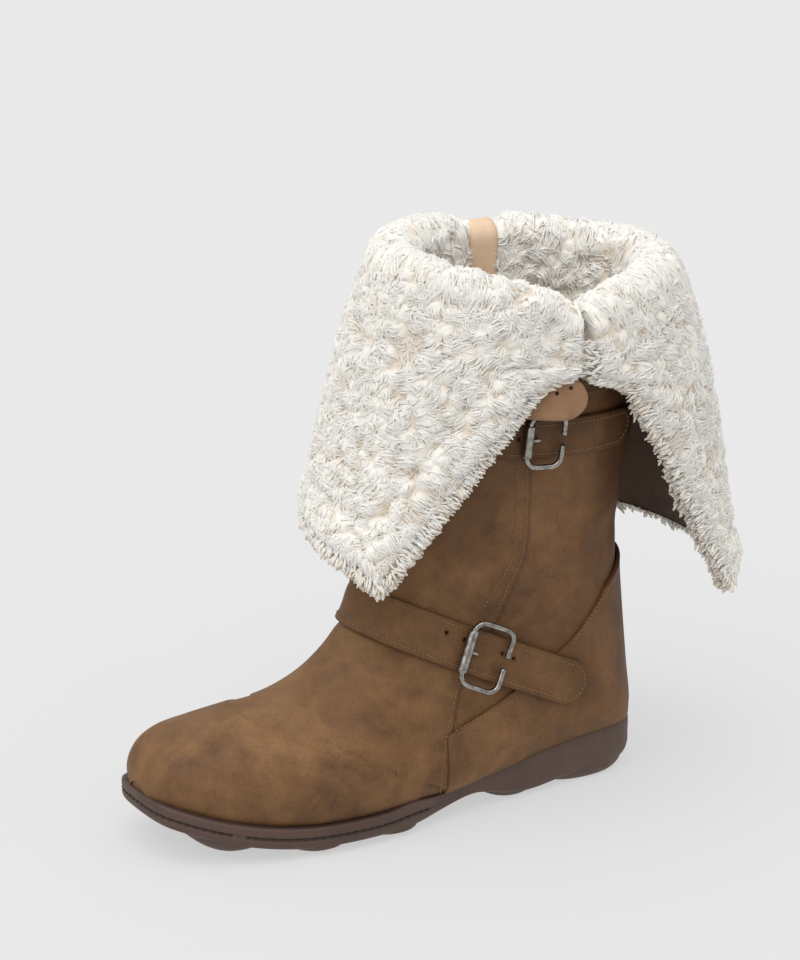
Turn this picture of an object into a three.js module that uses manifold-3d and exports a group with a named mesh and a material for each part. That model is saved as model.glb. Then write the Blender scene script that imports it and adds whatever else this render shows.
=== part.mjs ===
// A sheepskin-lined winter boot for the left foot, with its shaft folded down into a wide fleece cuff.
// Millimetres. +X runs from heel to toe, +Y to the outer side of the foot, +Z up.
// The origin is on the floor, at the middle of the rear heel lug.
import * as THREE from "three";
import { mergeVertices } from "three/addons/utils/BufferGeometryUtils.js";
import Module from "manifold-3d";

const wasm = await Module();
wasm.setup();

// Lengths and heights of the last
const lastLength = 258; // back of the heel to the tip of the toe
const heelInset = 28; // back of the last to the origin, at the middle of the rear heel lug
const ballWidth = 91; // width across the ball
const shaftWidth = 98; // width of the shaft at its top
const heelSeat = 22; // floor to the underside of the upper at the heel
const ballSeat = 10; // the same at the ball
const toeSpring = 17; // further rise of the toe
const instepHeight = 122; // floor to the bend between vamp and shaft
const foldHeight = 276; // floor to the crest of the folded top at its highest
const shaftHeight = foldHeight / 1.15; // floor to the shaft's top before its edge is shaped

// Thicknesses and clearances
const wall = 2.5;
const overlay = 1.5; // heel counter
const strapThickness = 2.2;
const insoleThickness = 4;
const gap = 0.3; // between pieces that touch
const cuffGap = 1.4; // between the cuff and the shaft, which bend differently

// Sole
const soleRim = 5; // welt beyond the upper at the forefoot
const heelRim = 2.6; // the same at the heel
const waistRim = 0.9; // the same at the waist
const foxing = 5; // rim above the underside of the upper
const weltGroove = 1; // depth of the stitch channel
const soleThickness = 6.8; // below the upper
const waistThickness = 3.2;
const heelThickness = 16;
const shoulderHeight = 2; // rise of the rim at the back end of the forefoot

// Straps and buckles
const strapWidth = 23;
const buckleLength = 21; // along the strap
const buckleHeight = 31; // across the strap
const buckleCorner = 5;
const buckleGap = 5.5; // opening in the free bar
const wireRadius = 1.4;
const rollerRadius = 2.5;
const prongRadius = 1;
const prongLength = 4;
const topTabWidth = 20; // strap end on the cuff's leather side
const topStrapGap = 1.8; // between that strap and the curved leather

// Cuff
const fleece = 9; // pile and skin
const cuffTuck = 38; // lining that shows inside the collar
const cuffDrop = 125; // how far the hem hangs below the fold
const cuffFlare = 55; // how far the hem stands off the shaft
const slitTop = 25; // below the fold, where the two edges of the slit part
const slitTurn = 10; // further down, until they run straight to their corners
const seamInset = 20; // hem seam to the cuff's edge
const seamDepth = 2.2;
const slitHalfGap = 0.006; // share of a turn on each side of the slit
const cuffGirth = 430; // round the cuff, from edge to edge of the slit
const loopWidth = 16; // pull loop
const loopThickness = 1.6;

// Fineness of the meshes
const sectionSteps = 25;
const girthSteps = 24;
const outlineSteps = 24;
const wireSteps = 28;
const wireSides = 6;

// Foot sections from the toe back. X values are shares of lastLength, topZ of instepHeight, half and centre
// of ballWidth. mid is where the section is widest, and top and low are the powers that round its two parts.
const FOOT = [
  { topX: 1.0, topZ: 0.28, lowX: 0.997, half: 0.08, centre: -0.077, mid: 0.42, top: 2.0, low: 2.2 },
  { topX: 0.992, topZ: 0.36, lowX: 0.973, half: 0.215, centre: -0.075, mid: 0.36, top: 2.1, low: 2.6 },
  { topX: 0.965, topZ: 0.43, lowX: 0.935, half: 0.315, centre: -0.07, mid: 0.32, top: 2.15, low: 3.2 },
  { topX: 0.922, topZ: 0.468, lowX: 0.884, half: 0.39, centre: -0.06, mid: 0.29, top: 2.2, low: 3.6 },
  { topX: 0.86, topZ: 0.485, lowX: 0.822, half: 0.445, centre: -0.044, mid: 0.28, top: 2.2, low: 3.6 },
  { topX: 0.79, topZ: 0.502, lowX: 0.744, half: 0.482, centre: -0.022, mid: 0.28, top: 2.2, low: 3.6 },
  { topX: 0.725, topZ: 0.53, lowX: 0.651, half: 0.497, centre: 0.0, mid: 0.28, top: 2.1, low: 3.6 },
  { topX: 0.655, topZ: 0.6, lowX: 0.543, half: 0.477, centre: 0.012, mid: 0.27, top: 2.0, low: 3.6 },
  { topX: 0.6, topZ: 0.705, lowX: 0.426, half: 0.445, centre: 0.01, mid: 0.26, top: 2.0, low: 3.5 },
  { topX: 0.563, topZ: 0.81, lowX: 0.302, half: 0.424, centre: 0.0, mid: 0.26, top: 2.0, low: 3.3 },
  { topX: 0.541, topZ: 0.905, lowX: 0.165, half: 0.416, centre: 0.0, mid: 0.28, top: 2.0, low: 2.9 },
  { topX: 0.527, topZ: 1.0, lowX: 0.022, half: 0.408, centre: 0.0, mid: 0.31, top: 2.0, low: 2.7 },
];

// Shaft sections upwards. X values are shares of lastLength and half of shaftWidth. frontZ is a share of the
// way from instepHeight to shaftHeight, backZ of the way from heelSeat.
const SHAFT = [
  { frontX: 0.515, frontZ: 0.12, backX: -0.009, backZ: 0.034, half: 0.374, mid: 0.36, power: 2.4 },
  { frontX: 0.503, frontZ: 0.254, backX: -0.008, backZ: 0.138, half: 0.384, mid: 0.43, power: 2.15 },
  { frontX: 0.493, frontZ: 0.4, backX: 0.0, backZ: 0.284, half: 0.4, mid: 0.48, power: 2.0 },
  { frontX: 0.486, frontZ: 0.542, backX: 0.01, backZ: 0.427, half: 0.418, mid: 0.5, power: 2.0 },
  { frontX: 0.477, frontZ: 0.686, backX: 0.002, backZ: 0.578, half: 0.44, mid: 0.5, power: 2.0 },
  { frontX: 0.465, frontZ: 0.83, backX: -0.028, backZ: 0.748, half: 0.465, mid: 0.5, power: 2.0 },
  { frontX: 0.458, frontZ: 1.0, backX: -0.07, backZ: 1.0, half: 0.5, mid: 0.5, power: 2.0 },
];

// Lugs under the sole: place and half length as shares of lastLength, lift as a share of toeSpring
const LUGS = [
  { name: "rear heel", x: heelInset / lastLength, half: 0.106, lift: 0 },
  { name: "front heel", x: 0.272, half: 0.058, lift: 0 },
  { name: "rear ball", x: 0.556, half: 0.072, lift: 0 },
  { name: "front ball", x: 0.708, half: 0.072, lift: 0 },
  { name: "toe", x: 0.858, half: 0.07, lift: 0.3 },
];

// The cuff round the boot. turn is the place on the shaft: 0.25 outer side, 0.5 front, 0.75 inner side and
// 1 back. ridge is a share of foldHeight, swing turns the hem away from the slit, flare and drop are shares
// of cuffFlare and cuffDrop. lead pulls the flap backwards just below the fold, or forwards where it is
// negative.
const CUFF = [
  { turn: 0.25, ridge: 0.905, swing: 0.156, flare: 0.98, drop: 0.97, lead: -0.5 },
  { turn: 0.29, ridge: 0.945, swing: 0.141, flare: 0.94, drop: 1.0, lead: -0.33 },
  { turn: 0.34, ridge: 0.974, swing: 0.118, flare: 0.88, drop: 1.03, lead: -0.15 },
  { turn: 0.42, ridge: 0.997, swing: 0.08, flare: 0.77, drop: 1.06, lead: 0 },
  { turn: 0.5, ridge: 1.005, swing: 0.05, flare: 0.68, drop: 1.08, lead: 0 },
  { turn: 0.62, ridge: 1.01, swing: 0.02, flare: 0.64, drop: 1.1, lead: 0 },
  { turn: 0.75, ridge: 0.985, swing: 0.0, flare: 0.64, drop: 1.14, lead: 0 },
  { turn: 0.88, ridge: 0.96, swing: -0.012, flare: 0.66, drop: 1.22, lead: 0 },
  { turn: 1.0, ridge: 0.955, swing: -0.035, flare: 0.66, drop: 1.28, lead: 0 },
  { turn: 1.1, ridge: 0.95, swing: -0.07, flare: 0.66, drop: 1.29, lead: 0.08 },
  { turn: 1.18, ridge: 0.942, swing: -0.105, flare: 0.64, drop: 1.28, lead: 0.2 },
  { turn: 1.22, ridge: 0.93, swing: -0.123, flare: 0.63, drop: 1.26, lead: 0.28 },
  { turn: 1.25, ridge: 0.905, swing: -0.137, flare: 0.62, drop: 1.23, lead: 0.32 },
];

const lerp = THREE.MathUtils.lerp;
const clamp = THREE.MathUtils.clamp;
const smooth = THREE.MathUtils.smoothstep;

// Value of one column at a row number that may lie between rows
function column(rows, key, at) {
  const last = rows.length - 1;
  const i = clamp(Math.floor(at), 0, last - 1);
  const f = at - i;
  const p = [i - 1, i, i + 1, i + 2].map((k) => rows[clamp(k, 0, last)][key]);
  const bend = (p[2] - p[0]) / 2;
  const next = (p[3] - p[1]) / 2;
  const rise = p[1] - p[2];
  return p[1] + f * (bend + f * (-3 * rise - 2 * bend - next + f * (2 * rise + bend + next)));
}

// Height of the upper's underside above the floor, at x from the back of the last
function seatHeight(x) {
  const s = x / lastLength;
  const shank = (heelSeat - ballSeat) * (1 - smooth(s, 0.04, 0.5));
  const spring = toeSpring * Math.max(0, (s - 0.69) / 0.31) ** 2;
  return ballSeat + shank + spring;
}

// All sections in one form, with real sizes, so that foot and shaft are one surface
const SECTIONS = [
  ...FOOT.map((r) => ({
    topX: r.topX * lastLength,
    topZ: r.topZ * instepHeight,
    lowX: r.lowX * lastLength,
    lowZ: seatHeight(r.lowX * lastLength),
    half: r.half * ballWidth,
    centre: r.centre * ballWidth,
    mid: r.mid,
    topPower: r.top,
    lowPower: r.low,
  })),
  ...SHAFT.map((r) => ({
    topX: r.frontX * lastLength,
    topZ: lerp(instepHeight, shaftHeight, r.frontZ),
    lowX: r.backX * lastLength,
    lowZ: lerp(heelSeat, shaftHeight, r.backZ),
    half: r.half * shaftWidth,
    centre: 0,
    mid: r.mid,
    topPower: 2,
    lowPower: r.power,
  })),
];
const lastSection = SECTIONS.length - 1;
const shapedFrom = lerp(instepHeight, shaftHeight, 0.6); // above this the shaft is stretched to its edge

// Row number in CUFF for a place on the shaft, in turns
function cuffRow(turn) {
  let i = 0;
  while (i < CUFF.length - 2 && CUFF[i + 1].turn < turn) i += 1;
  return i + (turn - CUFF[i].turn) / (CUFF[i + 1].turn - CUFF[i].turn);
}

const ridgeHeight = (turn) => column(CUFF, "ridge", cuffRow(turn)) * foldHeight;
const foldCrest = fleece + wall / 2 + cuffGap * 1.5; // from the shaft's edge to the top of the fold

// Height of the shaft's edge at a place on the shaft
function edgeHeight(turn) {
  const wrapped = turn < 0.25 ? turn + 1 : turn;
  return ridgeHeight(wrapped) - foldCrest;
}

// Point of the upper's outer face. row is a section number, and turn goes round from the back or underside.
function facePoint(row, turn) {
  const at = clamp(row, 0, lastSection);
  const get = (key) => column(SECTIONS, key, at);
  const angle = turn * 2 * Math.PI;
  const across = Math.sin(angle);
  const along = -Math.cos(angle);
  const power = along > 0 ? get("topPower") : get("lowPower");
  const reach = Math.abs(along) ** (2 / power);
  const mid = get("mid");
  const share = along > 0 ? mid + (1 - mid) * reach : mid - mid * reach;
  const y = get("centre") + Math.sign(across) * get("half") * Math.abs(across) ** (2 / power);
  const x = lerp(get("lowX"), get("topX"), share);
  let z = lerp(get("lowZ"), get("topZ"), share);
  if (z > shapedFrom) {
    const stretch = (edgeHeight(((turn % 1) + 1) % 1) - shapedFrom) / (shaftHeight - shapedFrom);
    z = shapedFrom + (z - shapedFrom) * stretch;
  }
  return new THREE.Vector3(x - heelInset, y, z);
}

// Outward normal of the upper, from neighbouring points
function faceNormal(row, turn) {
  const dRow = 0.04;
  const dTurn = 0.006;
  const a = clamp(row, dRow, lastSection - dRow);
  const up = facePoint(a + dRow, turn).sub(facePoint(a - dRow, turn));
  const round = facePoint(a, turn + dTurn).sub(facePoint(a, turn - dTurn));
  return up.cross(round).normalize();
}

// The upper's face moved outwards by grow, or inwards where it is negative
function grownPoint(row, turn, grow) {
  return facePoint(row, turn).addScaledVector(faceNormal(row, turn), grow);
}

// A closed solid from points and triangles that may face either way
function solidFrom(points, faces) {
  const flat = new Float32Array(faces.length * 9);
  faces.forEach((face, i) => face.forEach((p, k) => points[p].toArray(flat, i * 9 + k * 3)));
  const soup = new THREE.BufferGeometry();
  soup.setAttribute("position", new THREE.BufferAttribute(flat, 3));
  const solid = solidOf(soup);
  return solid.volume() < 0 ? solidFrom(points, faces.map(([a, b, c]) => [a, c, b])) : solid;
}

// Equal points are joined and flat triangles dropped
function solidOf(geometry) {
  const bare = geometry.index ? geometry.toNonIndexed() : geometry.clone();
  bare.deleteAttribute("normal");
  bare.deleteAttribute("uv");
  const merged = mergeVertices(bare, 1e-3);
  const all = merged.index.array;
  const kept = [];
  for (let i = 0; i < all.length; i += 3) {
    const [a, b, c] = [all[i], all[i + 1], all[i + 2]];
    if (a !== b && b !== c && c !== a) kept.push(a, b, c);
  }
  const mesh = new wasm.Mesh({
    numProp: 3,
    vertProperties: merged.attributes.position.array,
    triVerts: new Uint32Array(kept),
  });
  return new wasm.Manifold(mesh);
}

// Quads between neighbouring rings of equal length, closed round each ring
function ringFaces(ringCount, ringLength) {
  const faces = [];
  for (let r = 0; r < ringCount - 1; r += 1) {
    for (let k = 0; k < ringLength; k += 1) {
      const a = r * ringLength + k;
      const b = r * ringLength + ((k + 1) % ringLength);
      faces.push([a, b, b + ringLength], [a, b + ringLength, a + ringLength]);
    }
  }
  return faces;
}

// The whole boot form as one closed solid, grown or shrunk; above adds that much height over the edge
function bootForm(grow, above = 0) {
  const rings = [];
  for (let i = 0; i <= sectionSteps; i += 1) {
    const row = (i / sectionSteps) * lastSection;
    rings.push(Array.from({ length: girthSteps }, (_, k) => grownPoint(row, k / girthSteps, grow)));
  }
  if (above > 0) rings.push(rings.at(-1).map((p) => p.clone().setZ(p.z + above)));
  const points = rings.flat();
  const faces = ringFaces(rings.length, girthSteps);
  for (const [ring, turned] of [[0, false], [rings.length - 1, true]]) {
    const first = ring * girthSteps;
    const middle = rings[ring].reduce((sum, p) => sum.add(p), new THREE.Vector3()).divideScalar(girthSteps);
    points.push(middle);
    for (let k = 0; k < girthSteps; k += 1) {
      const [a, b] = [first + k, first + ((k + 1) % girthSteps)];
      faces.push(turned ? [a, b, points.length - 1] : [b, a, points.length - 1]);
    }
  }
  return solidFrom(points, faces);
}

// Where the upper leaves the sole, from toe to heel on one side
function soleEdge(side) {
  const found = [];
  for (let row = 0; row < lastSection; row += 0.1) {
    for (let t = 0.002; t < 0.25; t += 0.004) {
      const p = facePoint(row, side * t);
      const q = facePoint(row, side * (t + 0.004));
      const level = (v) => v.z - seatHeight(v.x + heelInset) - foxing;
      if (level(p) < 0 && level(q) >= 0) {
        found.push(p.clone().lerp(q, level(p) / (level(p) - level(q))));
        break;
      }
    }
  }
  found.push(facePoint(lastSection * 0.66, 0).setX(found.at(-1).x - 0.5));
  const line = new THREE.CatmullRomCurve3(found.map((p) => p.setZ(0)));
  return line.getSpacedPoints(outlineSteps);
}

const OUTLINE = { outer: soleEdge(1), inner: soleEdge(-1) };

// Outline points at an offset, along the outer side from toe to heel and along the inner side back again
function outlineRing(offsetAt, heightAt) {
  const loop = [...OUTLINE.outer, ...OUTLINE.inner.slice(0, -1).toReversed()];
  return loop.map((p, i) => {
    const before = loop[(i + loop.length - 1) % loop.length];
    const after = loop[(i + 1) % loop.length];
    const along = after.clone().sub(before).normalize();
    const x = p.x + heelInset;
    const offset = offsetAt(x);
    return new THREE.Vector3(p.x + along.y * offset, p.y - along.x * offset, heightAt(x));
  });
}

// A solid through rings of the outline, closed below and above by rungs from side to side
function outlineSolid(rings) {
  const points = rings.flat();
  const length = rings[0].length;
  const faces = ringFaces(rings.length, length);
  for (const [base, turned] of [[0, true], [(rings.length - 1) * length, false]]) {
    const cap = (a, b, c) => {
      const [first, second] = turned ? [b, a] : [a, b];
      faces.push([base + first, base + second, base + c]);
    };
    for (let i = 0; i < outlineSteps; i += 1) {
      const across = length - 1 - i;
      cap(i, i + 1, across);
      if (i < outlineSteps - 1) cap(i + 1, across - 1, across);
    }
  }
  return solidFrom(points, faces);
}

// Half width and middle of the sole's outline at x
function outlineAt(x) {
  const find = (line) => {
    const i = clamp(line.findIndex((p) => p.x + heelInset < x), 1, line.length - 1);
    const [a, b] = [line[i - 1], line[i]];
    return lerp(a.y, b.y, clamp((a.x + heelInset - x) / (a.x - b.x), 0, 1));
  };
  const [outer, inner] = [find(OUTLINE.outer), find(OUTLINE.inner)];
  return { half: (outer - inner) / 2, middle: (outer + inner) / 2 };
}

// Shares of the forefoot and of the waist at x, and the short rise behind the ball
const forefoot = (x) => smooth(x / lastLength, 0.42, 0.54);
const waistShare = (x) => Math.exp(-(((x / lastLength - 0.4) / 0.085) ** 2));
const shoulder = (x) => shoulderHeight * Math.exp(-(((x / lastLength - 0.53) / 0.04) ** 2));
const rimAt = (x) => lerp(lerp(heelRim, soleRim, forefoot(x)), waistRim, waistShare(x));

// The sole's underside between its lugs
function undersideHeight(x) {
  const thick = lerp(heelThickness, soleThickness, smooth(x / lastLength, 0.2, 0.5));
  return seatHeight(x) - lerp(thick, waistThickness, waistShare(x));
}

// The sole: rings of its outline from the middle of the top over the rim to the underside, and its lugs
function soleSolid() {
  const top = (x) => seatHeight(x) + foxing + shoulder(x);
  const share = (x, s) => lerp(top(x), undersideHeight(x), s);
  const profile = [
    { out: (x) => rimAt(x) - soleRim - 1, z: (x) => share(x, 1) },
    { out: (x) => rimAt(x) * 0.5, z: (x) => share(x, 0.92) },
    { out: (x) => rimAt(x) - 0.5, z: (x) => share(x, 0.7) },
    { out: (x) => rimAt(x) - weltGroove * forefoot(x), z: (x) => share(x, 0.5) },
    { out: (x) => rimAt(x), z: (x) => share(x, 0.36) },
    { out: (x) => rimAt(x) - 0.8, z: (x) => share(x, 0.1) },
    { out: (x) => rimAt(x) * 0.4, z: (x) => share(x, 0) },
    { out: () => -3, z: (x) => share(x, 0) },
  ];
  let sole = outlineSolid(profile.map((p) => outlineRing(p.out, p.z)));
  for (const lug of LUGS) sole = sole.add(lugSolid(lug));
  const block = new THREE.BoxGeometry(lastLength * 2, ballWidth * 3, heelSeat * 2);
  block.translate(0, 0, -heelSeat);
  return sole.subtract(solidOf(block)).subtract(bootForm(gap)).decompose()[0];
}

// One lug across the sole: a squared ellipsoid, flat where the floor cuts it
function lugSolid(lug) {
  const x = lug.x * lastLength;
  const { half, middle } = outlineAt(x);
  const [steps, rows] = [16, 8];
  const depth = seatHeight(x) * 0.75;
  const centreZ = depth * 0.72 + lug.lift * toeSpring;
  const squared = (v, power) => Math.sign(v) * Math.abs(v) ** (2 / power);
  const points = [];
  for (let r = 0; r <= rows; r += 1) {
    const tilt = (r / rows - 0.5) * Math.PI;
    for (let k = 0; k < steps; k += 1) {
      const angle = (k / steps) * 2 * Math.PI;
      const ring = squared(Math.cos(tilt), 2.6);
      points.push(
        new THREE.Vector3(
          x - heelInset + lug.half * lastLength * ring * squared(Math.cos(angle), 2.3),
          middle + (half + rimAt(x) - 0.8) * ring * squared(Math.sin(angle), 3.2),
          centreZ + depth * squared(Math.sin(tilt), 2.6),
        ),
      );
    }
  }
  return solidFrom(points, ringFaces(rows + 1, steps));
}

// A flat outline in side view, as points of x from the back of the last and z, carried across from y0 to y1
function sidePrism(shape, y0, y1) {
  const block = new THREE.ExtrudeGeometry(shape, { depth: y1 - y0, bevelEnabled: false, curveSegments: 10 });
  block.rotateX(Math.PI / 2);
  block.translate(-heelInset, y1, 0);
  return solidOf(block);
}

// The upper: a wall of even thickness, open at the collar and under the foot
function upperSolid() {
  const hollow = bootForm(0).subtract(bootForm(-wall, foldCrest));
  const margin = 12; // lasting allowance turned in under the foot
  const opening = outlineSolid([
    outlineRing(() => -margin, (x) => seatHeight(x) - wall * 2),
    outlineRing(() => -margin, (x) => seatHeight(x) + wall * 2),
  ]);
  return hollow.subtract(opening);
}

// The insole fills the bottom of the upper
function insoleSolid() {
  const shape = new THREE.Shape();
  const steps = 24;
  const edge = (i, lift) => {
    const x = lerp(-0.1, 1.1, i / steps) * lastLength;
    return [x, seatHeight(clamp(x, 0, lastLength)) + lift];
  };
  shape.moveTo(...edge(0, 0));
  for (let i = 1; i <= steps; i += 1) shape.lineTo(...edge(i, 0));
  for (let i = steps; i >= 0; i -= 1) shape.lineTo(...edge(i, wall + gap + insoleThickness));
  return bootForm(-wall - gap * 3).intersect(sidePrism(shape, -ballWidth, ballWidth));
}

// Heel counter: a second skin over the heel, below a curved edge that climbs from the sole to the back seam
function counterSolid() {
  const skin = bootForm(gap + overlay).subtract(bootForm(gap));
  const shape = new THREE.Shape();
  shape.moveTo(0.455 * lastLength, -wall);
  shape.lineTo(0.45 * lastLength, 0.37 * instepHeight);
  shape.bezierCurveTo(
    0.3 * lastLength, 0.46 * instepHeight,
    0.18 * lastLength, 0.62 * instepHeight,
    0.09 * lastLength, 0.83 * instepHeight,
  );
  shape.lineTo(-0.1 * lastLength, 1.05 * instepHeight);
  shape.lineTo(-0.1 * lastLength, -wall);
  return skin.intersect(sidePrism(shape, -ballWidth, ballWidth)).subtract(soleEnvelope());
}

// The room that the sole takes, with its clearance
function soleEnvelope() {
  return outlineSolid([
    outlineRing(() => soleRim * 2, () => -wall),
    outlineRing(() => soleRim * 2, (x) => seatHeight(x) + foxing + shoulder(x) + gap),
  ]);
}

// A strap in side view: a straight band from front to tip, with a round tip or a square end
function bandShape(front, tip, width, round) {
  const from = new THREE.Vector2(...front);
  const to = new THREE.Vector2(...tip);
  const along = to.clone().sub(from).normalize();
  const side = new THREE.Vector2(-along.y, along.x).multiplyScalar(width / 2);
  const shape = new THREE.Shape();
  const corner = (p, s) => [p.x + side.x * s, p.y + side.y * s];
  shape.moveTo(...corner(from, -1));
  if (round) {
    const centre = to.clone().addScaledVector(along, -width / 2);
    const start = Math.atan2(-side.y, -side.x);
    shape.lineTo(...corner(centre, -1));
    shape.absarc(centre.x, centre.y, width / 2, start, start + Math.PI, false);
  } else {
    shape.lineTo(...corner(to, -1));
    shape.lineTo(...corner(to, 1));
  }
  shape.lineTo(...corner(from, 1));
  return shape;
}

// Straps in side view: x as a share of lastLength and z of height. front lies ahead of the shin, tip on the
// outer side and end on the inner side. pin is the buckle's place, as a share of the way to the tip, size
// scales strap and buckle, and under is the room below the strap.
const STRAPS = {
  lower: {
    height: instepHeight, front: [0.72, 1.02], tip: [0.148, 0.45], end: [0.25, 0.555],
    pin: 0.62, size: 1, under: gap * 2 + overlay,
  },
  upper: {
    height: shaftHeight, front: [0.6, 0.817], tip: [0.045, 0.769], end: [0.12, 0.775],
    pin: 0.61, size: 0.86, under: gap,
  },
  tab: {
    height: shaftHeight, front: [0.245, 0.899], tip: [0.115, 0.884],
    pin: 0, size: 0.6, under: gap,
  },
};

// The top strap's loose end: its tip in the same way, its reach sideways as a share of shaftWidth, its bulge
const TOP_STRAP = { height: shaftHeight, tip: [0.2, 0.878], reach: 0.59, bulge: 2.2 };
const sidePoint = ([x, z], height) => [x * lastLength, z * height];

// A strap is a skin over the upper, cut to its outline on each side
function strapSolid({ height, front, tip, end, size, under }) {
  const width = strapWidth * size;
  const skin = bootForm(under + strapThickness).subtract(bootForm(under));
  const [from, to] = [sidePoint(front, height), sidePoint(tip, height)];
  const outer = sidePrism(bandShape(from, to, width, true), -1, ballWidth);
  if (!end) return skin.intersect(outer);
  const inner = sidePrism(bandShape(from, sidePoint(end, height), width, false), -ballWidth, 0);
  return skin.intersect(outer.add(inner));
}

// Outer-side face of the boot form as triangles, to find y at a place in side view
function sideTriangles(grow) {
  const [rows, turns] = [60, 30];
  const at = (i, k) => grownPoint((i / rows) * lastSection, 0.01 + (0.48 * k) / turns, grow);
  const grid = [];
  for (let i = 0; i <= rows; i += 1) grid.push(Array.from({ length: turns + 1 }, (_, k) => at(i, k)));
  const list = [];
  for (let i = 0; i < rows; i += 1) {
    for (let k = 0; k < turns; k += 1) {
      const [a, b, c, d] = [grid[i][k], grid[i + 1][k], grid[i + 1][k + 1], grid[i][k + 1]];
      list.push([a, b, c], [a, c, d]);
    }
  }
  return list;
}

// Outermost y of those triangles at a place in side view
function sideY(triangles, x, z) {
  const slack = 1e-6;
  let best = -Infinity;
  for (const [a, b, c] of triangles) {
    const area = (b.x - a.x) * (c.z - a.z) - (c.x - a.x) * (b.z - a.z);
    const s = ((x - a.x) * (c.z - a.z) - (c.x - a.x) * (z - a.z)) / area;
    const t = ((b.x - a.x) * (z - a.z) - (x - a.x) * (b.z - a.z)) / area;
    if (Math.min(s, t, 1 - s - t) < -slack) continue;
    best = Math.max(best, a.y + s * (b.y - a.y) + t * (c.y - a.y));
  }
  return best;
}

// A round bar along a path
function barSolid(path, radius, steps) {
  const shape = new THREE.Shape();
  for (let k = 0; k < wireSides; k += 1) {
    const angle = (k / wireSides) * 2 * Math.PI;
    const point = [radius * Math.cos(angle), radius * Math.sin(angle)];
    if (k === 0) shape.moveTo(...point);
    else shape.lineTo(...point);
  }
  return solidOf(new THREE.ExtrudeGeometry(shape, { steps, bevelEnabled: false, extrudePath: path }));
}

// A buckle: an open wire frame bent to the boot, a roller on its front bar and a short prong behind that
function buckleSolids({ height, front, tip, pin, size, under, end }) {
  const [frontX, frontZ] = sidePoint(front, height);
  const [tipX, tipZ] = sidePoint(tip, height);
  const along = new THREE.Vector2(tipX - frontX, tipZ - frontZ).normalize();
  const middle = new THREE.Vector2(lerp(frontX, tipX, pin), lerp(frontZ, tipZ, pin));
  const seat = under + strapThickness + gap;
  const face = sideTriangles(seat);
  const place = (u, v, lift) => {
    const x = middle.x + along.x * u - along.y * v - heelInset;
    const z = middle.y + along.y * u + along.x * v;
    return new THREE.Vector3(x, sideY(face, x, z) + lift, z);
  };
  const [halfLength, halfHeight] = [(buckleLength * size) / 2, (buckleHeight * size) / 2];
  const outline = new THREE.Path();
  const [left, right, inset] = [-halfLength, halfLength, buckleCorner];
  outline.moveTo(right, buckleGap / 2);
  outline.lineTo(right, halfHeight - inset);
  outline.absarc(right - inset, halfHeight - inset, inset, 0, Math.PI / 2, false);
  outline.lineTo(left + inset, halfHeight);
  outline.absarc(left + inset, halfHeight - inset, inset, Math.PI / 2, Math.PI, false);
  outline.lineTo(left, -halfHeight + inset);
  outline.absarc(left + inset, -halfHeight + inset, inset, Math.PI, Math.PI * 1.5, false);
  outline.lineTo(right - inset, -halfHeight);
  outline.absarc(right - inset, -halfHeight + inset, inset, Math.PI * 1.5, Math.PI * 2, false);
  outline.lineTo(right, -buckleGap / 2);
  const lift = end ? rollerRadius : wireRadius;
  // Across the roller the bar is straight, between its two ends
  const barEnds = [place(left, -halfHeight + inset, lift), place(left, halfHeight - inset, lift)];
  const framePoints = outline.getSpacedPoints(wireSteps).map((p) => {
    if (p.x > left + 0.01) return place(p.x, p.y, lift);
    const share = (p.y + halfHeight - inset) / (2 * (halfHeight - inset));
    return barEnds[0].clone().lerp(barEnds[1], share);
  });
  const frame = barSolid(new THREE.CatmullRomCurve3(framePoints), wireRadius, wireSteps);
  const axis = barEnds[1].clone().sub(barEnds[0]);
  const length = axis.length() - 2 * gap;
  const bore = wireRadius + gap;
  const ring = [[bore, 0], [rollerRadius, 0], [rollerRadius, length], [bore, length], [bore, 0]];
  const roller = new THREE.LatheGeometry(ring.map((p) => new THREE.Vector2(...p)), 12);
  const lathed = new THREE.Vector3(0, 1, 0); // direction that the lathe turns about
  roller.applyQuaternion(new THREE.Quaternion().setFromUnitVectors(lathed, axis.clone().normalize()));
  roller.translate(...barEnds[0].clone().addScaledVector(axis.normalize(), gap).toArray());
  const from = left + rollerRadius + gap + prongRadius * 0.2;
  const prongPath = new THREE.LineCurve3(
    place(from, 0, prongRadius),
    place(from + prongLength, 0, prongRadius),
  );
  return { frame, roller: solidOf(roller), prong: barSolid(prongPath, prongRadius, 1) };
}

// Leather face of the cuff. round is 0 at the front edge of the slit and 1 at its back edge, and down is 0
// inside the collar and 1 at the hem.
const shaftAxisX = (facePoint(lastSection, 0).x + facePoint(lastSection, 0.5).x) / 2;
const turnAt = (round) => lerp(0.25 + slitHalfGap, 1.25 - slitHalfGap, round);
const insideShare = 0.16; // of down: the lining inside the collar
const rollShare = 0.26; // of down: end of the turn over the shaft's edge

// The hem, set off from the shaft's edge
function hemPoint(turn) {
  const row = cuffRow(turn);
  const edge = facePoint(lastSection, turn + column(CUFF, "swing", row));
  const outward = new THREE.Vector3(edge.x - shaftAxisX, edge.y, 0).normalize();
  return edge
    .addScaledVector(outward, column(CUFF, "flare", row) * cuffFlare)
    .setZ(ridgeHeight(turn) - column(CUFF, "drop", row) * cuffDrop);
}

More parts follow.
